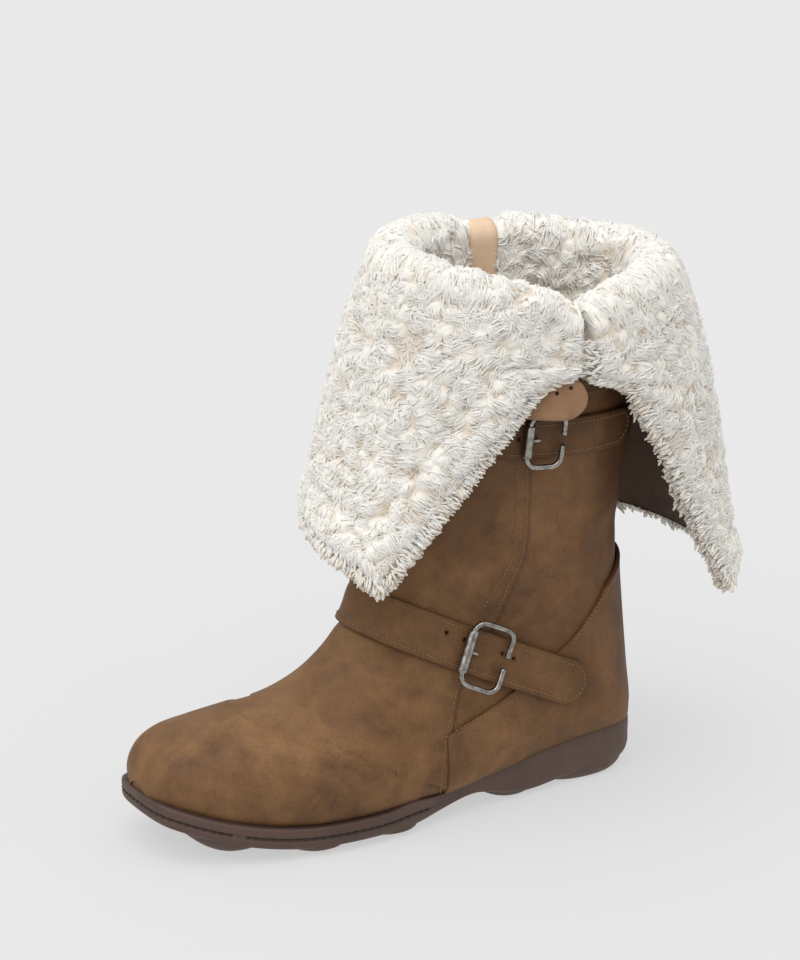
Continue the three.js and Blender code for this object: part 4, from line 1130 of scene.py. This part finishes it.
def lug(x, reach, lift, steps=56, rows=30):
    """A squared ellipsoid across the sole, flat on the floor."""
    outer, inner = side_at(x, OUTER_EDGE), side_at(x, INNER_EDGE)
    half, middle = (outer - inner) / 2, (outer + inner) / 2
    depth = seat_height(x) * 0.75
    centre = depth * 0.72 + lift

    def squared(v, power):
        return np.sign(v) * np.abs(v) ** (2 / power)

    tilt = (np.linspace(0, 1, rows + 1) - 0.5)[:, None] * np.pi
    angle = np.arange(steps) / steps * 2 * np.pi
    ring = squared(np.cos(tilt), 2.6)
    px = x - INSET + reach * ring * squared(np.cos(angle), 2.3)
    py = middle + (half + rim_width(x) - 0.8) * ring * squared(np.sin(angle), 3.2)
    pz = centre + depth * squared(np.sin(tilt), 2.6) + 0 * px
    points = np.stack([px, py, np.maximum(pz, 0)], -1).reshape(-1, 3)
    tone = np.zeros((len(points), 3))
    tone[:, 1] = 1
    return points, grid_faces(rows + 1, steps, closed=True), tone


CHANNEL_SHARE = 0.48  # of the sole's height, down to the channel


def build_sole_stitches():
    """Dark stitches in the rim's channel, along the forefoot."""
    ring = sole_point(CHANNEL_SHARE, -0.14, 0.75)
    x = OUTLINE[:, 0] + INSET
    keep = forefoot(x) > 0.55
    start = np.argmax(keep & (np.arange(len(x)) > SOLE_STEPS))
    loop = np.roll(ring, -start, 0)[: int(keep.sum())]
    normals = np.roll(np.column_stack([OUTLINE_NORMAL, np.zeros(len(x))]), -start, 0)[: int(keep.sum())]
    points, faces = stitches(loop, normals, **SOLE_STITCHES)
    piece = mesh_object("sole_stitches", points, faces, M_SOLE_THREAD)


def build_footbed():
    rows = 90
    x = np.linspace(0.03, 0.96, rows) * LAST
    outer, inner = side_at(x, OUTER_EDGE), side_at(x, INNER_EDGE)
    across = np.linspace(-1, 1, 40)
    middle, half = (outer + inner) / 2, (outer - inner) / 2 - WALL - 1.2
    y = middle[:, None] + half[:, None] * across
    rng = np.random.default_rng(5)
    z = seat_height(x)[:, None] + WALL + GAP + 4 + 0.8 * np.abs(across) ** 4 + 0.5 * rng.random(y.shape)
    points = np.stack([np.broadcast_to(x[:, None] - INSET, y.shape), y, z], -1).reshape(-1, 3)
    depth = rng.random((len(points), 1)) * 0.6 + 0.3
    faces = grid_faces(rows, 40)[:, ::-1]
    piece = mesh_object("footbed_pile", points, faces, M_LINING, np.repeat(depth, 3, 1))
    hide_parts("insole")


# Buckles
WIRE_STEPS = 96


def tube(path, ups, radius, sides=14, closed_ends=True):
    """A round bar along a path."""
    ahead = unit(np.gradient(path, axis=0))
    side = unit(np.cross(ahead, ups))
    up = np.cross(side, ahead)
    radius = np.broadcast_to(radius, len(path))
    if closed_ends:
        ends = [0.2, 0.55, 0.85]
        head = [path[0] - ahead[0] * radius[0] * 0.5 * (1 - e) for e in ends]
        tail = [path[-1] + ahead[-1] * radius[-1] * 0.5 * (1 - e) for e in ends[::-1]]
        path = np.concatenate([head, path, tail])
        radius = np.r_[[radius[0] * e for e in ends], radius, [radius[-1] * e for e in ends[::-1]]]
        side = np.concatenate([np.repeat(side[:1], 3, 0), side, np.repeat(side[-1:], 3, 0)])
        up = np.concatenate([np.repeat(up[:1], 3, 0), up, np.repeat(up[-1:], 3, 0)])
    angle = np.linspace(0, 2 * np.pi, sides, endpoint=False)[None, :, None]
    ring = np.cos(angle) * side[:, None] + np.sin(angle) * up[:, None]
    points = path[:, None] + ring * radius[:, None, None]
    rows = len(path)
    points = np.concatenate([points.reshape(-1, 3), path[:1], path[-1:]])
    k = np.arange(sides)
    first = np.stack([k * 0 + rows * sides, (k + 1) % sides, k], -1)
    last = (rows - 1) * sides
    final = np.stack([k * 0 + rows * sides + 1, last + k, last + (k + 1) % sides], -1)
    faces = np.concatenate([grid_faces(rows, sides, closed=True), first, final])
    return points, faces[:, ::-1]


def corner_arc(x, y, radius, start, steps=10):
    angle = start + np.linspace(0, np.pi / 2, steps)
    return np.stack([x + radius * np.cos(angle), y + radius * np.sin(angle)], -1)


def build_buckle(name, strap):
    start, tip = side_point(strap["front"], strap["height"]), side_point(strap["tip"], strap["height"])
    along = unit(tip - start)
    middle = lerp(start, tip, strap["pin"])
    skin = Skin(strap["under"] + STRAP + GAP)

    def place(u, v, lift):
        x = middle[0] + along[0] * u - along[1] * v
        z = middle[1] + along[1] * u + along[0] * v
        point, _ = skin.side(x + INSET, z)
        return np.array([x, point[1] + lift, z])

    half_length, half_height = BUCKLE_LENGTH * strap["size"] / 2, BUCKLE_HEIGHT * strap["size"] / 2
    left, right, r = -half_length, half_length, BUCKLE_CORNER
    outline = np.concatenate([
        [[right, BUCKLE_GAP / 2]],
        corner_arc(right - r, half_height - r, r, 0),
        corner_arc(left + r, half_height - r, r, np.pi / 2),
        corner_arc(left + r, -half_height + r, r, np.pi),
        corner_arc(right - r, -half_height + r, r, np.pi * 1.5),
        [[right, -BUCKLE_GAP / 2]],
    ])
    outline = even_path(outline, WIRE_STEPS)
    lift = ROLLER if strap["end"] else WIRE
    ends = [place(left, -half_height + r, lift), place(left, half_height - r, lift)]
    path = []
    for u, v in outline:
        if u > left + 0.05:
            path.append(place(u, v, lift))
        else:
            path.append(lerp(ends[0], ends[1], (v + half_height - r) / (2 * (half_height - r))))
    path = np.array(path)
    for _ in range(3):
        path[1:-1] = (path[:-2] + 2 * path[1:-1] + path[2:]) / 4
    ups = np.repeat([[0.0, 1.0, 0.0]], len(path), 0)
    piece = mesh_object(f"buckle_wire_{name}", *tube(path, ups, WIRE), M_METAL)
    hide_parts(f"buckle_frame_{name}")
    if not strap["end"]:
        return
    axis = unit(ends[1] - ends[0])
    from_end, to_end = ends[0] + axis * GAP, ends[1] - axis * GAP
    share = np.r_[0, 0.006, 0.03, np.linspace(0.06, 0.94, 8), 0.97, 0.994, 1]
    shape = np.r_[0.8, 0.93, 1.0, np.full(8, 1.0), 1.0, 0.93, 0.8] * ROLLER
    path = lerp(from_end, to_end, share[:, None])
    points, faces = tube(path, ups[: len(path)], shape, 20, False)
    piece = mesh_object(f"buckle_bar_{name}", points, faces, M_METAL, sharp=40)
    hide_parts(f"buckle_roller_{name}")
    first = left + ROLLER + GAP + PRONG * 0.2
    share = np.linspace(0, 1, 8)
    path = np.array([place(first + PRONG_LENGTH * s, 0, PRONG) for s in share])
    shape = PRONG * np.sqrt(np.clip(1 - share ** 4 * 0.8, 0.05, 1))
    piece = mesh_object(f"buckle_pin_{name}", *tube(path, ups[: len(path)], shape, 12), M_METAL)
    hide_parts(f"buckle_prong_{name}")


# Cuff
FINE_CUFF, COARSE_CUFF = (400, 220), (130, 70)  # points around and down
INSIDE_SHARE, ROLL_SHARE = 0.16, 0.26  # of the way down, where the inside and the rolled edge end
SHAFT_AXIS = (face_point(LAST_ROW, 0)[0] + face_point(LAST_ROW, 0.5)[0]) / 2


def turn_at(around):
    return lerp(0.25 + SLIT_HALF_GAP, 1.25 - SLIT_HALF_GAP, around)


def hem_point(turn):
    edge = face_point(LAST_ROW, turn + cuff("swing", turn))
    outward = unit(np.stack([edge[..., 0] - SHAFT_AXIS, edge[..., 1], 0 * edge[..., 0]], -1))
    point = edge + outward * (cuff("flare", turn) * CUFF_FLARE)[..., None]
    point[..., 2] = ridge_height(turn) - cuff("drop", turn) * CUFF_DROP
    return point


def leather_point(around, down):
    """Leather face of the cuff: around from one edge of the slit to the other, down from inside to hem."""
    around, down = np.broadcast_arrays(np.asarray(around, float), np.asarray(down, float))
    turn = turn_at(around)
    row_height = SHAFT - SECTIONS["low_z"][-2]
    tuck = (1 - down / INSIDE_SHARE) * CUFF_TUCK / row_height
    inner = grown(LAST_ROW - np.maximum(tuck, 0), turn, np.full(turn.shape, -WALL - CUFF_GAP))
    edge = grown(LAST_ROW + 0 * turn, turn, np.full(turn.shape, -WALL / 2))
    outward = unit(face_normal(LAST_ROW + 0 * turn, turn) * [1, 1, 0])
    radius = WALL / 2 + CUFF_GAP

    def arc(angle):
        up = np.stack([0 * angle, 0 * angle, CUFF_GAP / 2 + radius * np.sin(angle)], -1)
        return edge + outward * (radius * np.cos(angle))[..., None] + up

    rolled = arc(lerp(np.pi, 0.15, np.clip((down - INSIDE_SHARE) / (ROLL_SHARE - INSIDE_SHARE), 0, 1)))
    start, hem = arc(0.15 + 0 * turn), hem_point(turn)
    reach = np.linalg.norm(hem - start, axis=-1)
    straight = unit(hem - start)
    leave = straight * 0.55 + outward * 0.2
    leave[..., 0] -= cuff("lead", turn)
    leave[..., 2] -= 0.25
    leave = unit(leave)
    a, b = start + leave * (reach / 3)[..., None], hem - straight * (reach / 3)[..., None]
    share = np.clip((down - ROLL_SHARE) / (1 - ROLL_SHARE), 0, 1)
    t = share[..., None]
    fall = bezier(start, a, b, hem, t)
    near = np.exp(-(np.minimum(around, 1 - around) * CUFF_GIRTH) / (SLIT_TOP * 0.65))
    hang = 1 - smooth(share * reach, SLIT_TOP, SLIT_TOP + SLIT_TURN)
    fall[..., 0] = lerp(fall[..., 0], start[..., 0], near * hang)
    down = down[..., None]
    return np.where(down <= INSIDE_SHARE, inner, np.where(down <= ROLL_SHARE, rolled, fall))


def along_lengths(points, axis):
    steps = np.linalg.norm(np.diff(points, axis=axis), axis=-1)
    start = np.zeros_like(np.take(steps, [0], axis))
    return np.concatenate([start, np.cumsum(steps, axis)], axis)


def ends_distance(points, axis):
    run = along_lengths(points, axis)
    return np.minimum(run, np.take(run, [-1], axis) - run)


class Cuff:
    """The cuff's leather and pile faces as grids of points."""

    def __init__(self, around_count, down_count):
        self.around = np.linspace(0, 1, around_count)
        self.down = np.linspace(0, 1, down_count)
        grid = leather_point(self.around[:, None], self.down[None, :])
        self.leather = grid
        self.from_slit = ends_distance(grid, 0)
        self.from_hem = ends_distance(grid, 1)
        self.around_way = unit(np.gradient(grid, axis=0))
        self.down_way = unit(np.gradient(grid, axis=1))
        self.normal = unit(np.cross(self.around_way, self.down_way))
        self.edge = np.minimum(self.from_slit, self.from_hem)
        self.height = self.pile_height()
        self.pile = grid + self.normal * self.height[..., None]

    def pile_height(self):
        seam = np.exp(-(((self.edge - SEAM_INSET) / 3) ** 2)) * SEAM_DEPTH * (self.down > ROLL_SHARE)
        distance = np.abs(self.around - 0.5) * CUFF_GIRTH
        press = 1 - smooth(distance, LOOP_WIDTH * 0.56, LOOP_WIDTH * 1.2)
        return rounded(self.edge, FLEECE * 0.75) * (FLEECE - seam) * (1 - 0.45 * press[:, None])


def lumps(points, size, seed):
    """Soft noise by sums of waves, for lumps in the pile."""
    rng = np.random.default_rng(seed)
    total = np.zeros(points.shape[:-1])
    for _ in range(14):
        way = unit(rng.normal(size=3))
        total += np.sin(points @ way * (2 * np.pi / size) * rng.uniform(0.7, 1.4) + rng.uniform(0, 6.28))
    return total / 14 ** 0.5


def build_cuff_base(fine):
    """The pile under the strands, raised where its clumps are."""
    rows, columns = fine.edge.shape
    mounds = mound(fine, fine.pile.reshape(-1, 3))[0].reshape(rows, columns)
    bumps = 0.25 * lumps(fine.pile, 3.2, 6)
    rise = (CLUMP_HEIGHT * mounds + bumps) * np.minimum(fine.height / 4, 1) - 0.5 * np.minimum(fine.height, 1)
    points = fine.pile + fine.normal * rise[..., None]
    # red is lower between the clumps: painted shade there
    tone = np.stack([0.35 + 0.5 * mounds, 0 * bumps + 0.5, 0.5 + 0.4 * bumps], -1).reshape(-1, 3)
    faces = grid_faces(rows, columns)[:, ::-1]
    piece = mesh_object("fleece_base", points.reshape(-1, 3), faces, M_WOOL, tone)


def build_cuff_leather():
    """The leather side, with its turned edge."""
    coarse = Cuff(*COARSE_CUFF)
    leather = coarse.leather + coarse.normal * 0.1
    edge = np.exp(-coarse.edge / 2.5).reshape(-1, 1)
    tone = np.concatenate([edge * 0.8, edge * 0 + 1, edge * 0], 1)
    skin = mesh_object("cuff_leather", leather.reshape(-1, 3), grid_faces(*COARSE_CUFF), M_INNER, tone)
    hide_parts("cuff")


def sample(values, i, j):
    """Values of a grid between its points."""
    i, j = np.clip(i, 0, values.shape[0] - 1.001), np.clip(j, 0, values.shape[1] - 1.001)
    a, b = i.astype(int), j.astype(int)
    shape = i.shape + (1,) * (values.ndim - 2)
    s, t = (i - a).reshape(shape), (j - b).reshape(shape)
    return lerp(lerp(values[a, b], values[a + 1, b], s), lerp(values[a, b + 1], values[a + 1, b + 1], s), t)


def scatter(fine, count, rng, weight):
    """Random places on the cuff as grid numbers, evenly spread by area times weight."""
    a = fine.pile[1:, :-1] - fine.pile[:-1, :-1]
    b = fine.pile[:-1, 1:] - fine.pile[:-1, :-1]
    area = np.linalg.norm(np.cross(a, b), axis=-1) * weight[:-1, :-1]
    chance = (area / area.sum()).ravel()
    i, j = np.unravel_index(rng.choice(len(chance), count, p=chance), area.shape)
    return i + rng.random(count), j + rng.random(count)


def lay(fine, at_i, at_j, rise, level=0.0):
    """Points on the pile at grid numbers, which may run over its edges, and raised off it.

    level is the least share of the pile's thickness that they keep at a border.
    """
    rows, columns = fine.edge.shape
    on_i, on_j = np.clip(at_i, 0, rows - 1.001), np.clip(at_j, 0, columns - 1.001)
    over = (at_i - on_i)[..., None] * sample(fine.step_i, on_i, on_j)
    over = over + (at_j - on_j)[..., None] * sample(fine.step_j, on_i, on_j)
    normal = unit(sample(fine.normal, on_i, on_j))
    height = np.maximum(sample(fine.height, on_i, on_j), level * FLEECE) + rise
    return sample(fine.leather, on_i, on_j) + over + normal * height[..., None], normal


def lock_mesh(centre, normal, width, depth, chance, sides=3):
    """Locks of wool as one mesh. centre and normal are (locks, rings, 3), width and depth (locks, rings)."""
    locks, rings = centre.shape[:2]
    tangent = unit(np.gradient(centre, axis=1))
    side = unit(np.cross(tangent, normal))
    up = np.cross(side, tangent)
    angle = np.linspace(0, 2 * np.pi, sides, endpoint=False) + np.pi / 2
    points, faces = small_tubes(centre, side, up, width, angle)
    tone = np.empty((locks, rings, sides, 3))
    tone[..., 0] = depth[:, :, None]
    tone[..., 1] = (np.arange(sides) / sides)[None, None, :]
    tone[..., 2] = chance[:, None, None]
    return points, faces[:, ::-1], tone.reshape(-1, 3)


CLUMP_COUNT, CLUMP_REACH, CLUMP_HEIGHT = 3000, 4.4, 1.9
INNER_STRANDS = dict(count=6500, length=6.0, thick=0.7, comb=False)
HEM_STRANDS = dict(count=7300, length=5.0, thick=0.75, comb=True)
FUZZ_COUNT = 2100


def mound(fine, places):
    """Height of the pile's clumps at places on it, and the nearest clump's number."""
    distance, number = np.empty(len(places)), np.empty(len(places), int)
    for k, place in enumerate(places):
        _, number[k], distance[k] = fine.clumps.find(place)
    return np.clip(1 - (distance / CLUMP_REACH) ** 2, -0.3, 1), number


def strands(fine, seed, weight, count, length, thick, comb):
    """Fine strands of wool. Those of one clump curl together over its mound; comb turns them over the hem."""
    rng = np.random.default_rng(seed)
    i, j = scatter(fine, count, rng, weight)
    number = mound(fine, sample(fine.pile, i, j))[1]
    way = fine.clump_way[number] + rng.normal(0, 0.22, count)
    bend = fine.clump_bend[number] * rng.uniform(0.7, 1.3, count)
    slit, hem = sample(fine.from_slit, i, j), sample(fine.from_hem, i, j)
    slit_side = np.where(i < len(fine.around) / 2, -1.0, 1.0)
    outwards = np.arctan2(slit_side * np.exp(-slit / 8), np.exp(-hem / 8))
    way = np.where(comb, outwards + rng.normal(0, 0.32, count), way)
    bend = np.where(comb, rng.uniform(-0.9, 0.9, count), bend)
    size = rng.uniform(0.7, 1.25, count)
    step_i = np.maximum(np.linalg.norm(sample(fine.step_i, i, j), axis=-1), 0.4)
    step_j = np.maximum(np.linalg.norm(sample(fine.step_j, i, j), axis=-1), 0.4)
    rings = 4
    at_i, at_j = [i], [j]
    stride = length * size / (rings - 1)
    for k in range(1, rings):
        heading = way + bend * (k / (rings - 1) - 0.5)
        at_i.append(at_i[-1] + np.sin(heading) * stride / step_i)
        at_j.append(at_j[-1] + np.cos(heading) * stride / step_j)
    at_i, at_j = np.stack(at_i, 1), np.stack(at_j, 1)
    t = np.linspace(0, 1, rings)[None, :]
    on_pile = lay(fine, at_i, at_j, 0 * at_i)[0]
    bump = mound(fine, on_pile.reshape(-1, 3))[0].reshape(at_i.shape)
    full = np.minimum(1, sample(fine.height, at_i, at_j) / 4)
    rise = CLUMP_HEIGHT * bump * full + 0.6 * np.sin(np.pi * t) * size[:, None] - 0.6
    rise = rise + rng.uniform(-0.2, 0.2, (count, 1))
    level = np.where(comb, rng.uniform(0.15, 0.85, (count, 1)), 0.0)
    centre, normal = lay(fine, at_i, at_j, rise, level)
    width = thick * size[:, None] * np.array([0.6, 1.0, 1.0, 0.5])[None, :]
    # lower off the clumps and at the ends: painted shade
    depth = np.clip(0.35 + 0.55 * bump + 0.25 * np.sin(np.pi * t), 0, 1)
    return lock_mesh(centre, normal, width, depth, rng.random(count))


def fuzz(fine, count, seed, weight):
    """Fine loose fibres that stand off the pile and soften its outline."""
    rng = np.random.default_rng(seed)
    i, j = scatter(fine, count, rng, weight)
    t = np.linspace(0, 1, 4)[None, :]
    size = rng.uniform(0.8, 2.0, (count, 1))
    way = rng.uniform(-np.pi, np.pi, (count, 1)) + rng.uniform(-1, 1, (count, 1)) * t
    rise = 0.3 + rng.uniform(0.2, 1.4, (count, 1)) * 1.6 * t * size
    at_i, at_j = i[:, None] + np.sin(way) * 1.4 * size * t, j[:, None] + np.cos(way) * 1.6 * size * t
    centre, normal = lay(fine, at_i, at_j, rise)
    width = np.array([0.16, 0.13, 0.11, 0.03])[None, :] + 0 * size
    return lock_mesh(centre, normal, width, np.ones((count, 4)), rng.random(count))


def build_fleece():
    fine = Cuff(*FINE_CUFF)
    fine.step_i, fine.step_j = np.gradient(fine.leather, axis=0), np.gradient(fine.leather, axis=1)
    build_cuff_leather()
    distance = np.abs(fine.around - 0.5) * CUFF_GIRTH
    under_loop = (distance < LOOP_WIDTH * 0.5)[:, None] & (np.abs(fine.down - 0.23) < 0.17)[None, :]
    seam = (np.abs(fine.edge - SEAM_INSET) < 1.4) & (fine.down > ROLL_SHARE)[None, :]
    border = fine.edge < SEAM_INSET - 3
    mask = np.where(under_loop, 0.0, 1.0)
    field = mask * np.where(seam, 0.25, 1.0) * np.where(border, 0.45, 1.0)
    hem = np.exp(-((fine.edge / 13) ** 4)) * (fine.down > 0.28) * (0.4 + 0.6 * np.exp(-fine.edge / 5))
    rng = np.random.default_rng(9)
    centres = sample(fine.pile, *scatter(fine, CLUMP_COUNT, rng, np.ones(fine.edge.shape)))
    fine.clumps = KDTree(CLUMP_COUNT)
    for k, centre in enumerate(centres):
        fine.clumps.insert(centre, k)
    fine.clumps.balance()
    fine.clump_way = lumps(centres, 24, 11) * 1.6 + rng.normal(0, 0.9, CLUMP_COUNT)
    fine.clump_bend = rng.uniform(0.8, 3.0, CLUMP_COUNT) * rng.choice([-1, 1], CLUMP_COUNT)
    build_cuff_base(fine)
    layers = [strands(fine, seed, field, **INNER_STRANDS) for seed in (20, 21, 22)]
    layers.append(strands(fine, 40, hem, **HEM_STRANDS))
    layers.append(fuzz(fine, FUZZ_COUNT, 50, mask + 2.5 * hem))
    for k, (points, faces, tone) in enumerate(layers):
        piece = mesh_object(f"fleece_locks_{k}", points, faces, M_WOOL, tone)
    return fine


# Loop and top strap
def ribbon(name, middles, acrosses, outs, halves, thickness, material, corner=0.6):
    """A flat strip with rounded edges. outs is the outward direction, and thickness grows that way."""
    k = 5
    angle = np.linspace(-np.pi / 2, np.pi / 2, k)
    r = min(corner, thickness / 2)
    right = np.stack([np.cos(angle) * r - r, np.sin(angle) * (thickness / 2) + thickness / 2], -1)
    left = np.stack([-(np.cos(angle) * r - r), np.sin(angle) * (thickness / 2) + thickness / 2], -1)[::-1]
    inner = np.linspace(-0.9, 0.9, 9)
    rings = []
    for middle, across, out, half in zip(middles, acrosses, outs, halves):
        a = [middle + across * max(half + p[0], 0.01) + out * p[1] for p in right]
        top = [middle - across * half * s + out * thickness for s in inner]
        b = [middle + across * min(-half + p[0], -0.01) + out * p[1] for p in left]
        low = [middle + across * half * s for s in inner]
        rings.append(a + top + b + low)
    points = np.array(rings)
    rows, count = points.shape[:2]
    points = points.reshape(-1, 3)
    starts = (0, (rows - 1) * count)
    points = np.concatenate([points, [points[s: s + count].mean(0) for s in starts]])
    faces = [grid_faces(rows, count, closed=True)]
    ring = np.arange(count)
    for n, s in enumerate(starts):
        hub = rows * count + n
        fan = np.stack([ring * 0 + hub, s + ring, s + (ring + 1) % count], -1)
        faces.append(fan if n else fan[:, ::-1])
    across_share = np.r_[np.full(k, 1.0), np.abs(inner), np.full(k, 1.0), np.abs(inner)]
    edge = np.tile(smooth(across_share, 0.8, 1.0) * 0.8, rows)
    edge = np.r_[edge, 1, 1]
    tone = np.stack([edge, edge * 0 + 1, edge * 0], -1)
    return mesh_object(name, points, np.concatenate(faces)[:, ::-1], material, tone, sharp=45)


def build_pull_loop(fine):
    middle = len(fine.around) // 2
    columns = fine.pile[middle - 1: middle + 1].mean(0)
    keep = (fine.down > 0.035) & (fine.down < ROLL_SHARE + 0.13)
    path = columns[keep]
    path = smooth_path(path[::3], 60)
    across = np.repeat([unit(fine.around_way[middle, 40] * [1, 1, 0])], len(path), 0)
    ahead = unit(np.gradient(path, axis=0))
    out = unit(np.cross(across, ahead))
    halves = np.full(len(path), LOOP_WIDTH / 2)
    piece = ribbon("loop_leather", path + out * GAP, across, out, halves, LOOP_THICKNESS, M_LOOP)
    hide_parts("pull_loop")


TOP_STRAP = dict(tip=(0.2, 0.878), reach=0.59, bulge=2.2, width=20.0, gap=1.8)
TOP_HOLES = [(538, 397), (557, 393.5), (571, 388)]  # by pixels of the photograph


def under_cuff(around, z):
    downs = np.linspace(ROLL_SHARE, 1, 80)
    line = leather_point(around, downs)
    order = np.argsort(line[:, 2])
    return np.array([np.interp(z, line[order, 2], line[order, k]) for k in range(3)])


def build_top_strap():
    tip_x, tip_z = side_point(TOP_STRAP["tip"], SHAFT)
    tip = np.array([tip_x, TOP_STRAP["reach"] * SHAFT_WIDTH, tip_z])
    half = TOP_STRAP["width"] / 2
    stations = []
    for around in np.linspace(0.12, 0.0028, 24):
        ends = []
        for z in (tip_z - half, tip_z + half):
            p, q = under_cuff(around, z), under_cuff(around + 0.02, z)
            inward = unit(np.array([q[1] - p[1], p[0] - q[0], 0]))
            ends.append(p + inward * (STRAP + TOP_STRAP["gap"]))
        stations.append((lerp(ends[0], ends[1], 0.5), unit(ends[1] - ends[0]), half))
    edge = stations[-1]
    reach = np.linalg.norm(tip - edge[0])
    for t in np.r_[np.linspace(0.08, 0.6, 8), np.linspace(0.64, 0.96, 14), 0.98, 0.99, 0.997, 1.0]:
        from_tip = max(0, 1 - ((1 - t) * reach) / half)
        bulge = np.array([0, 4 * t * (1 - t) * TOP_STRAP["bulge"], 0])
        across = unit(lerp(edge[1], np.array([0, 0, 1.0]), t))
        width = half * math.sqrt(max(0.0004, 1 - from_tip ** 2))
        stations.append((lerp(edge[0], tip, t) + bulge, across, width))
    middles = np.array([s[0] for s in stations])
    across = np.array([s[1] for s in stations])
    out = unit(np.cross(np.gradient(middles, axis=0), across))
    out = out * np.where(out[:, 1] < 0, -1, 1)[:, None]
    piece = ribbon("top_strap_leather", middles, across, out, [s[2] for s in stations], STRAP, M_TAN, 0.7)
    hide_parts("strap_top")
    tree = BVHTree.FromPolygons([tuple(v.co / MM) for v in piece.data.vertices],
                                [tuple(p.vertices) for p in piece.data.polygons])
    # dark discs on the strap stand in for its holes: painted shade
    discs = []
    for x, y in TOP_HOLES:
        hit = tree.ray_cast(Vector(EYE), Vector(photo_ray(x, y)))
        if hit[0] is not None:
            normal = np.array(hit[1])
            normal = normal if normal @ BACK > 0 else -normal
            discs.append(disc(np.array(hit[0]) + normal * 0.06, normal, 1.0))
    if discs:
        piece = mesh_object("top_strap_hole_shade", *joined(discs)[:2], M_HOLE_SHADE)


def build_hem_thread(fine):
    """Cream thread in the seam along the slit's front edge."""
    path, normals = [], []
    for j in range(len(fine.down)):
        if fine.down[j] < ROLL_SHARE + 0.16 or fine.down[j] > 0.86:
            continue
        run = fine.from_slit[: len(fine.around) // 2, j]
        k = np.interp(SEAM_INSET, run, np.arange(len(run)))
        i = int(k)
        f = k - i
        path.append(lerp(fine.pile[i, j], fine.pile[i + 1, j], f))
        normals.append(lerp(fine.normal[i, j], fine.normal[i + 1, j], f))
    path, normals = np.array(path), unit(np.array(normals))
    path = path + normals * 0.2
    points, faces = stitches(path, normals, **HEM_STITCHES)
    piece = mesh_object("hem_thread", points, faces, M_CREAM)


build_upper()
build_lining()
build_counter()
build_straps()
build_strap_stitches()
build_upper_stitches()
build_sole()
build_sole_stitches()
build_footbed()
for strap_name, strap_row in STRAPS.items():
    build_buckle(strap_name, strap_row)
fleece_grid = build_fleece()
build_pull_loop(fleece_grid)
build_top_strap()
build_hem_thread(fleece_grid)


# Stage
SKY_LOW, SKY_HIGH = 0.35, 1.3  # light from below and from above
FLOOR_SHADE, FLOOR_GLOW = 0.22, 0.535  # the pale floor gives off light, so that shadows on it stay weak
FLOOR_REACH = 12  # metres


def build_stage():
    mesh = bpy.data.meshes.new("floor")
    corners = [(x * FLOOR_REACH, y * FLOOR_REACH, 0) for x, y in ((-1, -1), (1, -1), (1, 1), (-1, 1))]
    mesh.from_pydata(corners, [], [(0, 1, 2, 3)])
    floor = bpy.data.objects.new("floor", mesh)
    bpy.context.scene.collection.objects.link(floor)
    n = Nodes("floor_pale")
    n.finish((FLOOR_SHADE, FLOOR_SHADE, FLOOR_SHADE, 1), 0.9, Specular_IOR_Level=0.0,
             Emission_Color=(1, 1, 1, 1), Emission_Strength=FLOOR_GLOW)
    mesh.materials.append(n.material)
    world = bpy.data.worlds.new("studio")
    bpy.context.scene.world = world
    world.use_nodes = True
    tree = world.node_tree
    background = tree.nodes["Background"]
    heights = tree.nodes.new("ShaderNodeSeparateXYZ")
    tree.links.new(tree.nodes.new("ShaderNodeTexCoord").outputs["Generated"], heights.inputs[0])
    rise = tree.nodes.new("ShaderNodeMapRange")
    tree.links.new(heights.outputs["Z"], rise.inputs["Value"])
    rise.inputs["To Min"].default_value, rise.inputs["To Max"].default_value = SKY_LOW, SKY_HIGH
    tree.links.new(rise.outputs["Result"], background.inputs["Strength"])
    background.inputs["Color"].default_value = (1, 1, 1, 1)


def soft_light(name, towards, angle, power):
    """A broad light from far off. towards points from the boot to the light."""
    data = bpy.data.lights.new(name, "SUN")
    data.angle = math.radians(angle)
    data.energy = power
    light = bpy.data.objects.new(name, data)
    bpy.context.scene.collection.objects.link(light)
    light.rotation_euler = Vector(towards).to_track_quat("Z", "Y").to_euler()


def build_camera():
    data = bpy.data.cameras.new("photo_camera")
    data.sensor_width = 36
    data.lens = FOCAL / PHOTO_HEIGHT * data.sensor_width
    data.clip_start, data.clip_end = 0.1, 60
    camera = bpy.data.objects.new("photo_camera", data)
    bpy.context.scene.collection.objects.link(camera)
    camera.location = Vector(EYE * MM)
    camera.rotation_euler = Vector(-BACK).to_track_quat("-Z", "Y").to_euler()
    bpy.context.scene.camera = camera


build_stage()
soft_light("key", (0.5, 0.25, 0.85), 70, 1.15)
build_camera()
bpy.context.scene.view_settings.view_transform = "Standard"
